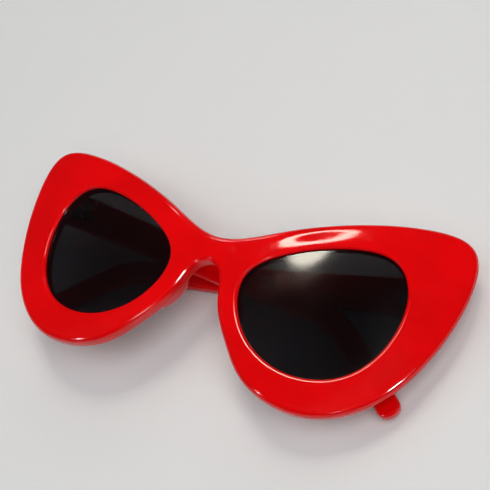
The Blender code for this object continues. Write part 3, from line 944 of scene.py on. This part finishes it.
    def pocket_end(self, hinge: "Hinge") -> float:
        """Return how far back the pocket for the leaf reaches."""
        return hinge.temple_leaf_length + hinge.clearance

    def wire_start(self, hinge: "Hinge") -> float:
        """Return where the core wire starts along the middle line."""
        return self.pocket_end(hinge) / math.cos(self.slope) + hinge.clearance

    def wire_end(self) -> float:
        """Return where the core wire ends along the middle line."""
        return self.length() - self.wire_end_cover

    def wire_mesh(self, hinge: "Hinge", material: bpy.types.Material) -> bpy.types.Mesh:
        """Make the core wire that stiffens the temple.

        Args:
            hinge: The hinge whose leaf it starts behind.
            material: Its material.

        Returns:
            The wire's closed mesh, the hinge axis at its origin.
        """
        stations = np.linspace(self.wire_start(hinge), self.wire_end(), 70)
        path = bpy.data.meshes.new("wire_path")
        points = [self.point(s, 0.0, self.wire_depth) for s in stations]
        path.from_pydata(points, [(i, i + 1) for i in range(len(points) - 1)], [])
        values = {"Radius": self.wire_radius, "Sides": 20, "Material": material}
        mesh = grown(path, wire_tree(), values)
        work = bmesh.new()
        work.from_mesh(mesh)
        return mesh_of(work, "core_wire")


# ------------------------------------------------------------------ nodes
def fill(tree: bpy.types.NodeTree, socket: bpy.types.NodeSocket, value: object) -> None:
    """Give a socket a link from another socket, or a plain value."""
    if isinstance(value, bpy.types.NodeSocket):
        tree.links.new(value, socket)
    else:
        socket.default_value = value


def node_of(
    tree: bpy.types.NodeTree, kind: str, values: dict, **settings: object
) -> bpy.types.Node:
    """Add a node.

    Args:
        tree: The tree that it goes in.
        kind: Its type.
        values: Its inputs by name or number, each a socket or a plain value.
        settings: Its own settings by name.

    Returns:
        The node.
    """
    node = tree.nodes.new(kind)
    for word, setting in settings.items():
        setattr(node, word, setting)
    for key, value in values.items():
        fill(tree, node.inputs[key], value)
    return node


def new_material(name: str, values: dict) -> tuple[bpy.types.Material, bpy.types.Node]:
    """Start a material.

    Args:
        name: Its name.
        values: The inputs of its shader that are the same all over, by name.

    Returns:
        The material and its shader.
    """
    material = bpy.data.materials.new(name)
    material.use_nodes = True
    shader = material.node_tree.nodes["Principled BSDF"]
    for word, value in values.items():
        shader.inputs[word].default_value = value
    return material, shader


# ------------------------------------------------------------------ geometry nodes
def new_tree(name: str, sockets: dict[str, str]) -> tuple[bpy.types.GeometryNodeTree, dict]:
    """Start a geometry node tree.

    Args:
        name: The tree's name.
        sockets: The kind of each named input.

    Returns:
        The tree, and its group input and output nodes by the names start and end.
    """
    tree = bpy.data.node_groups.new(name, "GeometryNodeTree")
    face = tree.interface
    face.new_socket("Geometry", in_out="INPUT", socket_type="NodeSocketGeometry")
    for word, kind in sockets.items():
        face.new_socket(word, in_out="INPUT", socket_type=kind)
    face.new_socket("Geometry", in_out="OUTPUT", socket_type="NodeSocketGeometry")
    nodes = {
        "start": tree.nodes.new("NodeGroupInput"),
        "end": tree.nodes.new("NodeGroupOutput"),
    }
    return tree, nodes


def dress(tree: bpy.types.GeometryNodeTree, nodes: dict, shape: bpy.types.NodeSocket) -> None:
    """End a tree: realize its instances and set the material that it is given."""
    whole = node_of(tree, "GeometryNodeRealizeInstances", {0: shape})
    paint = node_of(tree, "GeometryNodeSetMaterial", {
        "Geometry": whole.outputs[0],
        "Material": nodes["start"].outputs["Material"],
    })
    tree.links.new(paint.outputs[0], nodes["end"].inputs[0])


def knuckle_tree() -> bpy.types.GeometryNodeTree:
    """Build the tree that stacks hinge knuckles: round rings at even steps up an axis."""
    name = "knuckle_stack"
    if name in bpy.data.node_groups:
        return bpy.data.node_groups[name]
    tree, nodes = new_tree(name, {
        "Count": "NodeSocketInt",
        "First Height": "NodeSocketFloat",
        "Pitch": "NodeSocketFloat",
        "Ring Height": "NodeSocketFloat",
        "Middle Radius": "NodeSocketFloat",
        "Wall": "NodeSocketFloat",
        "Edge Round": "NodeSocketFloat",
        "Material": "NodeSocketMaterial",
    })
    given = nodes["start"].outputs
    path = node_of(tree, "GeometryNodeCurvePrimitiveCircle", {
        "Resolution": 48,
        "Radius": given["Middle Radius"],
    })
    profile = node_of(tree, "GeometryNodeCurvePrimitiveQuadrilateral", {
        "Width": given["Wall"],
        "Height": given["Ring Height"],
    })
    rounding = node_of(tree, "GeometryNodeFilletCurve", {
        "Count": 3,
        "Curve": profile.outputs[0],
        "Radius": given["Edge Round"],
    }, mode="POLY")
    ring = node_of(tree, "GeometryNodeCurveToMesh", {
        "Curve": path.outputs[0],
        "Profile Curve": rounding.outputs[0],
    })
    first, step = (
        node_of(tree, "ShaderNodeCombineXYZ", {"Z": given[word]})
        for word in ("First Height", "Pitch")
    )
    stack = node_of(tree, "GeometryNodeMeshLine", {
        "Count": given["Count"],
        "Start Location": first.outputs[0],
        "Offset": step.outputs[0],
    })
    copies = node_of(tree, "GeometryNodeInstanceOnPoints", {
        "Points": stack.outputs[0],
        "Instance": ring.outputs[0],
    })
    dress(tree, nodes, copies.outputs[0])
    return tree


def wire_tree() -> bpy.types.GeometryNodeTree:
    """Build the tree that grows a round capped wire along a path of edges."""
    name = "wire_along_path"
    if name in bpy.data.node_groups:
        return bpy.data.node_groups[name]
    tree, nodes = new_tree(name, {
        "Radius": "NodeSocketFloat",
        "Sides": "NodeSocketInt",
        "Material": "NodeSocketMaterial",
    })
    given = nodes["start"].outputs
    path = node_of(tree, "GeometryNodeMeshToCurve", {0: given["Geometry"]})
    profile = node_of(tree, "GeometryNodeCurvePrimitiveCircle", {
        "Radius": given["Radius"],
        "Resolution": given["Sides"],
    })
    tube = node_of(tree, "GeometryNodeCurveToMesh", {
        "Fill Caps": True,
        "Curve": path.outputs[0],
        "Profile Curve": profile.outputs[0],
    })
    dress(tree, nodes, tube.outputs[0])
    return tree


def grown(
    seed: bpy.types.Mesh, tree: bpy.types.GeometryNodeTree, values: dict[str, object]
) -> bpy.types.Mesh:
    """Run a geometry node tree on a mesh.

    Args:
        seed: The mesh that the tree is given.
        tree: The tree.
        values: Its inputs by name.

    Returns:
        The mesh that the tree makes.
    """
    holder = add_object("grown", seed)
    modifier = holder.modifiers.new("grow", "NODES")
    modifier.node_group = tree
    for item in tree.interface.items_tree:
        if item.item_type == "SOCKET" and item.in_out == "INPUT" and item.name in values:
            modifier[item.identifier] = values[item.name]
    return baked(holder)


# ------------------------------------------------------------------ hinges
@dataclass
class Hinge:
    """A barrel hinge: a leaf sunk in the front, one sunk in the temple, and a screw."""

    knuckle_count: int = 5
    knuckle_radius: float = 1.7 * MM
    barrel_length: float = 8.0 * MM
    axis_standoff: float = 2.2 * MM
    leaf_thickness: float = 1.3 * MM
    front_leaf_length: float = 5.2 * MM
    temple_leaf_length: float = 11.0 * MM
    web_width: float = 1.7 * MM
    screw_radius: float = 0.5 * MM
    screw_play: float = 0.05 * MM
    head_radius: float = 1.2 * MM
    head_height: float = 0.8 * MM
    slot_width: float = 0.4 * MM
    slot_depth: float = 0.4 * MM
    clearance: float = 0.3 * MM
    edge_round: float = 0.12 * MM

    def ring_height(self) -> float:
        """Return the height of one knuckle."""
        gaps = (self.knuckle_count - 1) * self.clearance
        return (self.barrel_length - gaps) / self.knuckle_count

    def span(self, index: int) -> tuple[float, float]:
        """Return the lower and upper height of one knuckle, counted from the bottom."""
        low = -self.barrel_length / 2 + index * (self.ring_height() + self.clearance)
        return low, low + self.ring_height()

    def bore(self) -> bpy.types.Mesh:
        """Make the cutter for the screw's hole."""
        work = bmesh.new()
        radius = self.screw_radius + self.screw_play
        bmesh.ops.create_cone(work, cap_ends=True, segments=48, radius1=radius, radius2=radius,
                              depth=2 * self.barrel_length)
        return mesh_of(work, "bore")

    def leaf(
        self, plate: bpy.types.Mesh, first: int, low: tuple[float, float],
        high: tuple[float, float], name: str,
    ) -> bpy.types.Mesh:
        """Join a leaf's plate with the webs of every second knuckle, and bore it.

        Args:
            plate: The plate.
            first: The number of the lowest knuckle.
            low: The lowest X and Y of a web.
            high: The highest X and Y of a web.
            name: The leaf's name.

        Returns:
            The leaf's mesh, the hinge axis at its origin.
        """
        webs = []
        for index in range(first, self.knuckle_count, 2):
            bottom, top = self.span(index)
            webs.append(box_mesh((*low, bottom), (*high, top)))
        return settle_mesh(combined(plate, webs, [self.bore()], self.edge_round), name)

    def front_leaf(self) -> bpy.types.Mesh:
        """Make the plate that is sunk in the front and the webs of its knuckles."""
        back, half = -self.axis_standoff, self.web_width / 2
        plate = box_mesh(
            (-self.front_leaf_length - half, back - self.leaf_thickness, -self.barrel_length / 2),
            (half, back, self.barrel_length / 2),
        )
        web_low = (-half, back - self.leaf_thickness / 2)
        return self.leaf(plate, 0, web_low, (half, 0.0), "front_leaf")

    def temple_leaf(self) -> bpy.types.Mesh:
        """Make the plate that is sunk in the temple and the webs of its knuckles."""
        face, half = self.axis_standoff, self.web_width / 2
        plate = box_mesh(
            (face, -half, -self.barrel_length / 2),
            (face + self.leaf_thickness, self.temple_leaf_length, self.barrel_length / 2),
        )
        web_high = (face + self.leaf_thickness / 2, half)
        return self.leaf(plate, 1, (0.0, -half), web_high, "temple_leaf")

    def knuckles(self, first: int, material: bpy.types.Material) -> bpy.types.Mesh:
        """Make every second knuckle of the barrel.

        Args:
            first: The number of the lowest one.
            material: Their material.

        Returns:
            The knuckles' mesh, the hinge axis at its origin.
        """
        hole = self.screw_radius + self.screw_play
        low, high = self.span(first)
        values = {
            "Count": len(range(first, self.knuckle_count, 2)),
            "First Height": (low + high) / 2,
            "Pitch": 2 * (self.ring_height() + self.clearance),
            "Ring Height": self.ring_height(),
            "Middle Radius": (self.knuckle_radius + hole) / 2,
            "Wall": self.knuckle_radius - hole,
            "Edge Round": self.edge_round,
            "Material": material,
        }
        mesh = grown(bpy.data.meshes.new("seed"), knuckle_tree(), values)
        work = bmesh.new()
        work.from_mesh(mesh)
        return mesh_of(work, "knuckles")

    def screw(self) -> bpy.types.Mesh:
        """Make the screw: a shank, a domed head and its slot."""
        top = self.barrel_length / 2 + self.clearance
        crown = top + self.head_height
        dome = 0.25 * self.head_height
        profile = [(0.0, -self.barrel_length / 2), (self.screw_radius, -self.barrel_length / 2)]
        profile += [(self.screw_radius, top), (self.head_radius, top)]
        profile += [(self.head_radius, crown - dome)]
        for step in range(1, 6):
            angle = math.pi / 2 * step / 5
            drop = dome * (1 - math.sin(angle))
            profile.append((self.head_radius * math.cos(angle), crown - drop))
        work = bmesh.new()
        verts = [work.verts.new((radius, 0.0, height)) for radius, height in profile]
        edges = [work.edges.new(pair) for pair in zip(verts, verts[1:])]
        bmesh.ops.spin(work, geom=verts + edges, cent=(0, 0, 0), axis=(0, 0, 1), dvec=(0, 0, 0),
                       angle=2 * math.pi, steps=48, use_merge=True)
        bmesh.ops.remove_doubles(work, verts=work.verts, dist=1e-7)
        turned = mesh_of(work, "turned")
        slot = box_mesh(
            (-2 * self.head_radius, -self.slot_width / 2, crown - self.slot_depth),
            (2 * self.head_radius, self.slot_width / 2, crown + self.head_height),
        )
        return settle_mesh(combined(turned, removed=[slot]), "screw")


# ------------------------------------------------------------------ shader groups
def value_of(tree: bpy.types.NodeTree, operation: str, *terms: object) -> bpy.types.NodeSocket:
    """Add a Math node.

    Args:
        tree: The tree that it goes in.
        operation: What it works out.
        terms: Its inputs, each a socket or a number.

    Returns:
        Its output.
    """
    node = node_of(tree, "ShaderNodeMath", dict(enumerate(terms)), operation=operation)
    return node.outputs[0]


def spread(
    tree: bpy.types.NodeTree, value: bpy.types.NodeSocket, low: float, high: float,
    to_low: float = 0.0, to_high: float = 1.0,
) -> bpy.types.NodeSocket:
    """Add a Map Range node that turns low to high into to_low to to_high, smoothly."""
    node = node_of(tree, "ShaderNodeMapRange", {
        "Value": value,
        "From Min": low,
        "From Max": high,
        "To Min": to_low,
        "To Max": to_high,
    }, interpolation_type="SMOOTHSTEP")
    return node.outputs[0]


def noise(
    tree: bpy.types.NodeTree, place: bpy.types.NodeSocket, scale: object, detail: float,
    stretch: tuple[float, float, float] = (1.0, 1.0, 1.0), turn: float = 0.0,
) -> bpy.types.NodeSocket:
    """Add a noise pattern, stretched and turned.

    Args:
        tree: The tree that it goes in.
        place: The coordinates that it reads.
        scale: Its scale, a number or a socket.
        detail: How many finer layers it has.
        stretch: How much finer it is along each axis.
        turn: How far it is turned about every axis.

    Returns:
        The pattern's value.
    """
    mapping = node_of(tree, "ShaderNodeMapping", {
        "Scale": stretch,
        "Rotation": (turn, 0.5 * turn, turn),
        "Vector": place,
    })
    texture = node_of(tree, "ShaderNodeTexNoise", {
        "Detail": detail,
        "Scale": scale,
        "Vector": mapping.outputs[0],
    })
    return texture.outputs[0]


def shader_group(
    name: str, inputs: dict[str, str], outputs: dict[str, str]
) -> tuple[bpy.types.NodeTree, bpy.types.Node, bpy.types.Node]:
    """Start a shader node group.

    Args:
        name: The group's name.
        inputs: The kind of each named input.
        outputs: The kind of each named output.

    Returns:
        The group, its input node and its output node.
    """
    tree = bpy.data.node_groups.new(name, "ShaderNodeTree")
    for words, direction in ((inputs, "INPUT"), (outputs, "OUTPUT")):
        for word, kind in words.items():
            tree.interface.new_socket(word, in_out=direction, socket_type=kind)
    return tree, tree.nodes.new("NodeGroupInput"), tree.nodes.new("NodeGroupOutput")


def handling_group() -> bpy.types.NodeTree:
    """Build the marks of handling: hairline scratches, smudges, dust and slow ripples."""
    name = "handling_marks"
    if name in bpy.data.node_groups:
        return bpy.data.node_groups[name]
    number = "NodeSocketFloat"
    hair_width, patch_scale, ripple_scale = 0.006, 90.0, 45.0
    tree, given, result = shader_group(
        name,
        {"Vector": "NodeSocketVector", "Scratch Scale": number, "Smudge Scale": number,
         "Dust Scale": number},
        {"Scratches": number, "Smudges": number, "Dust": number, "Ripples": number},
    )
    place = given.outputs["Vector"]
    lines = None
    for stretch, turn in (((1.0, 30.0, 6.0), 0.4), ((26.0, 1.0, 5.0), 1.1)):
        field_value = noise(tree, place, given.outputs["Scratch Scale"], 1.0, stretch, turn)
        off_middle = value_of(tree, "ABSOLUTE", value_of(tree, "SUBTRACT", field_value, 0.5))
        line = spread(tree, off_middle, 0.0, hair_width, 1.0, 0.0)
        patches = spread(tree, noise(tree, place, patch_scale, 2.0, turn=turn), 0.52, 0.70)
        line = value_of(tree, "MULTIPLY", line, patches)
        lines = line if lines is None else value_of(tree, "MAXIMUM", lines, line)
    tree.links.new(lines, result.inputs["Scratches"])
    smudge = noise(tree, place, given.outputs["Smudge Scale"], 5.0, (1.0, 1.0, 1.0), 0.7)
    tree.links.new(spread(tree, smudge, 0.46, 0.72), result.inputs["Smudges"])
    specks = node_of(tree, "ShaderNodeTexVoronoi", {
        "Vector": place,
        "Scale": given.outputs["Dust Scale"],
    })
    chosen = node_of(tree, "ShaderNodeSeparateColor", {0: specks.outputs["Color"]})
    near = spread(tree, specks.outputs["Distance"], 0.02, 0.07, 1.0, 0.0)
    few = spread(tree, chosen.outputs[0], 0.90, 0.93)
    tree.links.new(value_of(tree, "MULTIPLY", near, few), result.inputs["Dust"])
    ripple = noise(tree, place, ripple_scale, 1.0)
    tree.links.new(ripple, result.inputs["Ripples"])
    return tree


def tone_group() -> bpy.types.NodeTree:
    """Build the colour drift of a coloured plastic: slow clouds between two tones."""
    name = "tone_drift"
    if name in bpy.data.node_groups:
        return bpy.data.node_groups[name]
    tree, given, result = shader_group(
        name,
        {"Vector": "NodeSocketVector", "Tone": "NodeSocketColor", "Deep Tone": "NodeSocketColor",
         "Speck Tone": "NodeSocketColor", "Specks": "NodeSocketFloat", "Scale": "NodeSocketFloat"},
        {"Colour": "NodeSocketColor"},
    )
    clouds = noise(tree, given.outputs["Vector"], given.outputs["Scale"], 4.0, (1.0, 1.4, 1.0))
    first = node_of(tree, "ShaderNodeMix", {
        0: spread(tree, clouds, 0.35, 0.65),
        6: given.outputs["Tone"],
        7: given.outputs["Deep Tone"],
    }, data_type="RGBA")
    second = node_of(tree, "ShaderNodeMix", {
        0: given.outputs["Specks"],
        6: first.outputs[2],
        7: given.outputs["Speck Tone"],
    }, data_type="RGBA")
    tree.links.new(second.outputs[2], result.inputs["Colour"])
    return tree


# ------------------------------------------------------------------ finishes
@dataclass(frozen=True)
class Finish:
    """A finish: the values that its material is built from.

    Smudge, scratch and dust say how much of each mark there is; bump and ripple are the
    depth of the scratches and of the slow waves, in metres. A scale counts marks in each
    metre. Clear_shadows is the share of the lamps' light that passes through.
    """

    name: str
    tone: tuple[float, float, float]
    deep_tone: tuple[float, float, float]
    speck_tone: tuple[float, float, float]
    roughness: float
    smudge: float
    scratch: float
    bump: float
    ripple: float
    tone_scale: float = 40.0
    scratch_scale: float = 24.0
    smudge_scale: float = 70.0
    dust_scale: float = 420.0
    dust: float = 0.3
    metallic: float = 0.0
    transmission: float = 0.0
    ior: float = 1.49
    clear_shadows: float = 0.0

    def material(self) -> bpy.types.Material:
        """Build the finish's material.

        Returns:
            The material.
        """
        material, shader = new_material(self.name, {
            "Metallic": self.metallic,
            "Transmission Weight": self.transmission,
            "IOR": self.ior,
        })
        tree = material.node_tree
        place = tree.nodes.new("ShaderNodeTexCoord").outputs["Object"]
        marks = node_of(tree, "ShaderNodeGroup", {
            "Vector": place,
            "Scratch Scale": self.scratch_scale,
            "Smudge Scale": self.smudge_scale,
            "Dust Scale": self.dust_scale,
        }, node_tree=handling_group())
        specks = value_of(tree, "MULTIPLY", marks.outputs["Dust"], self.dust)
        tone = node_of(tree, "ShaderNodeGroup", {
            "Vector": place,
            "Tone": (*self.tone, 1.0),
            "Deep Tone": (*self.deep_tone, 1.0),
            "Speck Tone": (*self.speck_tone, 1.0),
            "Specks": specks,
            "Scale": self.tone_scale,
        }, node_tree=tone_group())
        tree.links.new(tone.outputs[0], shader.inputs["Base Color"])
        rough = value_of(tree, "MULTIPLY", marks.outputs["Smudges"], self.smudge)
        hair = value_of(tree, "MULTIPLY", marks.outputs["Scratches"], self.scratch)
        rough = value_of(tree, "ADD", value_of(tree, "ADD", rough, hair), self.roughness)
        tree.links.new(rough, shader.inputs["Roughness"])
        self.relief(tree, shader, marks)
        if self.clear_shadows:
            self.let_light_through(tree, shader)
        return material

    def relief(
        self, tree: bpy.types.NodeTree, shader: bpy.types.Node, marks: bpy.types.Node
    ) -> None:
        """Give the surface its slow ripples and the depth of its scratches."""
        grooves = value_of(tree, "MULTIPLY", marks.outputs["Scratches"], -self.bump)
        waves = value_of(tree, "MULTIPLY", marks.outputs["Ripples"], self.ripple)
        height = value_of(tree, "ADD", grooves, waves)
        bump = node_of(tree, "ShaderNodeBump", {"Distance": 1.0, "Height": height})
        tree.links.new(bump.outputs[0], shader.inputs["Normal"])

    def let_light_through(self, tree: bpy.types.NodeTree, shader: bpy.types.Node) -> None:
        """Let the lamps' light pass the tinted lens, dimmed, to what is behind it."""
        path = node_of(tree, "ShaderNodeLightPath", {})
        clear = node_of(tree, "ShaderNodeBsdfTransparent", {
            "Color": (*[self.clear_shadows] * 3, 1.0),
        })
        mix = node_of(tree, "ShaderNodeMixShader", {
            0: path.outputs["Is Shadow Ray"],
            1: shader.outputs[0],
            2: clear.outputs[0],
        })
        tree.links.new(mix.outputs[0], tree.nodes["Material Output"].inputs["Surface"])


RED_ACETATE = Finish(
    "red_acetate", (0.82, 0.0010, 0.002), (0.72, 0.0008, 0.0015), (0.75, 0.30, 0.28),
    roughness=0.055, smudge=0.05, scratch=0.10, bump=2e-6, ripple=1e-5,
)
GREY_LENS = Finish(
    "grey_lens", (0.050, 0.053, 0.056), (0.042, 0.045, 0.050), (0.20, 0.20, 0.20),
    roughness=0.06, smudge=0.03, scratch=0.05, bump=5e-7, ripple=1e-6, dust=0.2,
    transmission=1.0, ior=1.5, clear_shadows=0.22,
)
HINGE_METAL = Finish(
    "hinge_metal", (0.62, 0.60, 0.56), (0.50, 0.48, 0.45), (0.30, 0.28, 0.26),
    roughness=0.20, smudge=0.14, scratch=0.25, bump=3e-6, ripple=1e-5, tone_scale=260.0,
    scratch_scale=120.0, smudge_scale=300.0, dust_scale=900.0, metallic=1.0,
)
CORE_METAL = Finish(
    "core_metal", (0.58, 0.56, 0.52), (0.48, 0.46, 0.43), (0.30, 0.28, 0.26),
    roughness=0.30, smudge=0.10, scratch=0.20, bump=3e-6, ripple=1e-5, tone_scale=200.0,
    scratch_scale=150.0, metallic=1.0,
)


# ------------------------------------------------------------------ assembly
@dataclass
class Sunglasses:
    """The whole object: every piece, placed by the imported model's joints."""

    rest: RestingPlace
    front: Front = field(default_factory=Front)
    pads: NosePads = field(default_factory=NosePads)
    temple: Temple = field(default_factory=Temple)
    hinge: Hinge = field(default_factory=Hinge)

    def pieces(self) -> list[Piece]:
        """Build every piece.

        Returns:
            The pieces, not yet placed.
        """
        red, lens = RED_ACETATE.material(), GREY_LENS.material()
        metal, core = HINGE_METAL.material(), CORE_METAL.material()
        lie = self.rest.front(self.front.hinge_axis())
        made = [self.front_piece(lie, red)]
        plate, pad = self.front.lens_mesh(), self.pads.mesh()
        leaf, arm_leaf = self.hinge.front_leaf(), self.hinge.temple_leaf()
        rings, arm_rings = self.hinge.knuckles(0, metal), self.hinge.knuckles(1, metal)
        screw = self.hinge.screw()
        bar, wire = self.temple.mesh(self.hinge), self.temple.wire_mesh(self.hinge, core)
        for side in Side:
            word, arm = side.word, Body.arm(side)
            seat = self.front.thickness - self.front.back_drop / 2
            pad_place = lie @ self.front.face_frame(
                side.value * self.pads.place, -self.pads.drop, seat)
            back = lie @ self.front.side_frame(side) @ Matrix.Translation(
                (0.0, self.front.axis_standoff, 0.0))
            folded, axis = self.rest.temple(side), self.rest.hinge(side)
            for name, mesh, matrix, material, body, slot, nodes in (
                ("lens", plate, lie, lens, Body.FRONT, Slot.LENS, ("lens",)),
                ("nose_pad", pad, pad_place, red, Body.FRONT, Slot.NOSE_PAD, ("nose_pad",)),
                ("front_leaf", leaf, back, metal, Body.FRONT, Slot.HINGE, ("front_hinge_leaf",)),
                ("front_knuckles", rings, back, metal, Body.FRONT, Slot.HINGE, ()),
                ("screw", screw, axis, metal, Body.FRONT, Slot.HINGE, ("hinge_screw",)),
                ("temple_bar", bar, folded, red, arm, Slot.FRAME, ("temple",)),
                ("temple_wire", wire, folded, core, arm, Slot.CORE_WIRE, ("core_wire",)),
                ("temple_leaf", arm_leaf, folded, metal, arm, Slot.HINGE, ("temple_hinge_leaf",)),
                ("temple_knuckles", arm_rings, folded, metal, arm, Slot.HINGE, ()),
            ):
                title = f"{word}_{name}_look"
                final = placed(mesh, side, matrix, title)
                replaced = tuple(f"{word}_{node}" for node in nodes)
                made.append(Piece(title, final, material, body, slot, replaced))
        return made

    def front_piece(self, lie: Matrix, red: bpy.types.Material) -> Piece:
        """Build the front with the pockets for the hinge leaves.

        Args:
            lie: Where the front lies.
            red: Its material.

        Returns:
            The front's piece.
        """
        hinge, room = self.hinge, self.hinge.clearance
        half, reach = hinge.web_width / 2, hinge.barrel_length / 2 + room
        pockets = []
        for side in Side:
            pocket = box_mesh(
                (-hinge.front_leaf_length - half - room, -hinge.leaf_thickness - room, -reach),
                (half + room, 1.0 * MM, reach),
            )
            pockets.append(placed(pocket, side, self.front.side_frame(side), "pocket"))
        mesh = combined(self.front.mesh(), removed=pockets)
        final = placed(mesh, Side.LEFT, lie, "front_look")
        return Piece("front_look", final, red, Body.FRONT, Slot.FRAME, ("front_frame",))


# ------------------------------------------------------------------ studio
def bearing(azimuth: float, elevation: float) -> Vector:
    """Return the direction of a bearing in degrees: azimuth 0 is -Y and 90 is +X."""
    a, e = math.radians(azimuth), math.radians(elevation)
    return Vector((math.sin(a) * math.cos(e), -math.cos(a) * math.cos(e), math.sin(e)))


@dataclass
class Studio:
    """The floor, the lamps and the camera round the object.

    The ring lamp's radii are shares of its distance. The aim's shift is in millimetres.
    """

    low: Vector
    high: Vector
    floor_half: float = 3.0
    floor_tone: tuple[float, float, float] = (0.74, 0.745, 0.75)
    sky_tone: tuple[float, float, float] = (0.62, 0.72, 0.85)
    sky_strength: float = 0.05
    ring_towards: tuple[float, float, float] = (-0.045, 0.373, 0.927)
    ring_shift: tuple[float, float, float] = (-0.02, 0.013, 0.01)
    ring_distance: float = 0.9
    ring_outer: float = 0.125
    ring_inner: float = 0.078
    ring_tone: tuple[float, float, float] = (1.0, 0.92, 0.78)
    ring_strength: float = 20.0
    camera_azimuth: float = 49.54
    camera_elevation: float = 54.09
    camera_roll: float = math.radians(31.30)
    camera_distance: float = 0.3036
    camera_lens: float = 73.75
    camera_sensor: float = 36.0
    camera_clip: float = 0.01
    aim_shift: tuple[float, float, float] = (5.06, 13.95, 3.17)

    def centre(self) -> Vector:
        """Return the middle of the object's box."""
        return (self.low + self.high) / 2

    def floor(self) -> None:
        """Lay the plain pale floor under the object."""
        work = bmesh.new()
        bmesh.ops.create_grid(work, x_segments=1, y_segments=1, size=self.floor_half)
        bmesh.ops.translate(work, vec=(0.0, 0.0, self.low.z), verts=work.verts)
        floor = add_object("floor", mesh_of(work, "floor"))
        material, shader = new_material("pale_floor", {"Base Color": (*self.floor_tone, 1.0)})
        tree = material.node_tree
        place = tree.nodes.new("ShaderNodeTexCoord").outputs["Object"]
        rough = spread(tree, noise(tree, place, 30.0, 3.0), 0.3, 0.7, 0.5, 0.62)
        tree.links.new(rough, shader.inputs["Roughness"])
        floor.data.materials.append(material)
        floor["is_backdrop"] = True

    def ring_lamp(self) -> None:
        """Hang the round ring lamp whose reflection lies on the rim and the lens."""
        towards = Vector(self.ring_towards).normalized()
        place = self.centre() + Vector(self.ring_shift) + towards * self.ring_distance
        work = bmesh.new()
        rims = []
        for share in (self.ring_outer, self.ring_inner):
            radius = share * self.ring_distance
            made = bmesh.ops.create_circle(work, cap_ends=False, radius=radius, segments=96)
            rims.append(made["verts"])
        Front.wall(work, *rims)
        turn = towards.to_track_quat("Z", "Y").to_matrix().to_4x4()
        bmesh.ops.transform(work, matrix=Matrix.Translation(place) @ turn, verts=work.verts)
        ring = add_object("ring_lamp", mesh_of(work, "ring_lamp"))
        material, _ = new_material("ring_glow", {
            "Base Color": (0.0, 0.0, 0.0, 1.0),
            "Emission Color": (*self.ring_tone, 1.0),
            "Emission Strength": self.ring_strength,
        })
        ring.data.materials.append(material)
        ring.visible_camera = False
        ring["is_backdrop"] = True

    def softbox(
        self, name: str, azimuth: float, elevation: float, distance: float, size: float,
        radiance: float, glints: bool,
    ) -> None:
        """Hang a square soft lamp that faces the object.

        Args:
            name: The lamp's name.
            azimuth: Its bearing in degrees, 0 on the -Y side and 90 on the +X side.
            elevation: Its height above the horizon, in degrees.
            distance: How far away it is.
            size: The length of its side.
            radiance: How bright its face is.
            glints: Whether it is there for its reflections, or for the light it sheds.
        """
        lamp = bpy.data.lights.new(name, "AREA")
        lamp.size = size
        lamp.energy = radiance * math.pi * size * size
        holder = bpy.data.objects.new(name, lamp)
        bpy.context.scene.collection.objects.link(holder)
        back = bearing(azimuth, elevation)
        holder.location = self.centre() + back * distance
        holder.rotation_mode = "QUATERNION"
        holder.rotation_quaternion = (-back).to_track_quat("-Z", "Y")
        holder.visible_glossy = glints
        holder.visible_diffuse = not glints

    def lamps(self) -> None:
        """Hang every lamp and light the sky."""
        self.ring_lamp()
        for name, azimuth, elevation, distance, size, radiance, glints in (
            ("soft_key", 60.0, 62.0, 1.3, 1.0, 3.6, False),
            ("soft_fill", -70.0, 48.0, 1.4, 1.0, 1.3, False),
            ("soft_back", 190.0, 50.0, 1.4, 1.0, 1.0, False),
            ("glint_right", 80.0, 40.0, 1.1, 0.10, 180.0, True),
            ("glint_front", 40.0, 32.0, 1.1, 0.09, 40.0, True),
            ("glint_left", -30.0, 34.0, 1.2, 0.10, 90.0, True),
            ("glint_bridge", -147.3, 45.9, 1.1, 0.05, 45.0, True),
        ):
            self.softbox(name, azimuth, elevation, distance, size, radiance, glints)
        world = bpy.data.worlds.new("sky")
        world.use_nodes = True
        ground = world.node_tree.nodes["Background"]
        ground.inputs["Color"].default_value = (*self.sky_tone, 1.0)
        ground.inputs["Strength"].default_value = self.sky_strength
        bpy.context.scene.world = world

    def camera(self) -> None:
        """Set the camera where the object was seen from."""
        aim = self.centre() + Vector(self.aim_shift) * MM
        camera = bpy.data.objects.new("camera", bpy.data.cameras.new("camera"))
        bpy.context.scene.collection.objects.link(camera)
        back = bearing(self.camera_azimuth, self.camera_elevation)
        camera.location = aim + back * self.camera_distance
        camera.rotation_mode = "QUATERNION"
        level = (-back).to_track_quat("-Z", "Y")
        roll = Matrix.Rotation(-self.camera_roll, 3, "Z").to_quaternion()
        camera.rotation_quaternion = level @ roll
        camera.data.lens = self.camera_lens
        camera.data.sensor_width = self.camera_sensor
        camera.data.clip_start = self.camera_clip
        bpy.context.scene.camera = camera


def main() -> None:
    """Build the sunglasses and their studio."""
    logging.basicConfig(level=logging.INFO, format="%(message)s")
    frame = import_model()
    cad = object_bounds()
    glasses = Sunglasses(RestingPlace(frame["joints"]))
    for piece in glasses.pieces():
        piece.place()
    studio = Studio(*cad)
    studio.floor()
    studio.lamps()
    studio.camera()
    bpy.context.scene.view_settings.view_transform = "Standard"


if __name__ == "__main__":
    main()
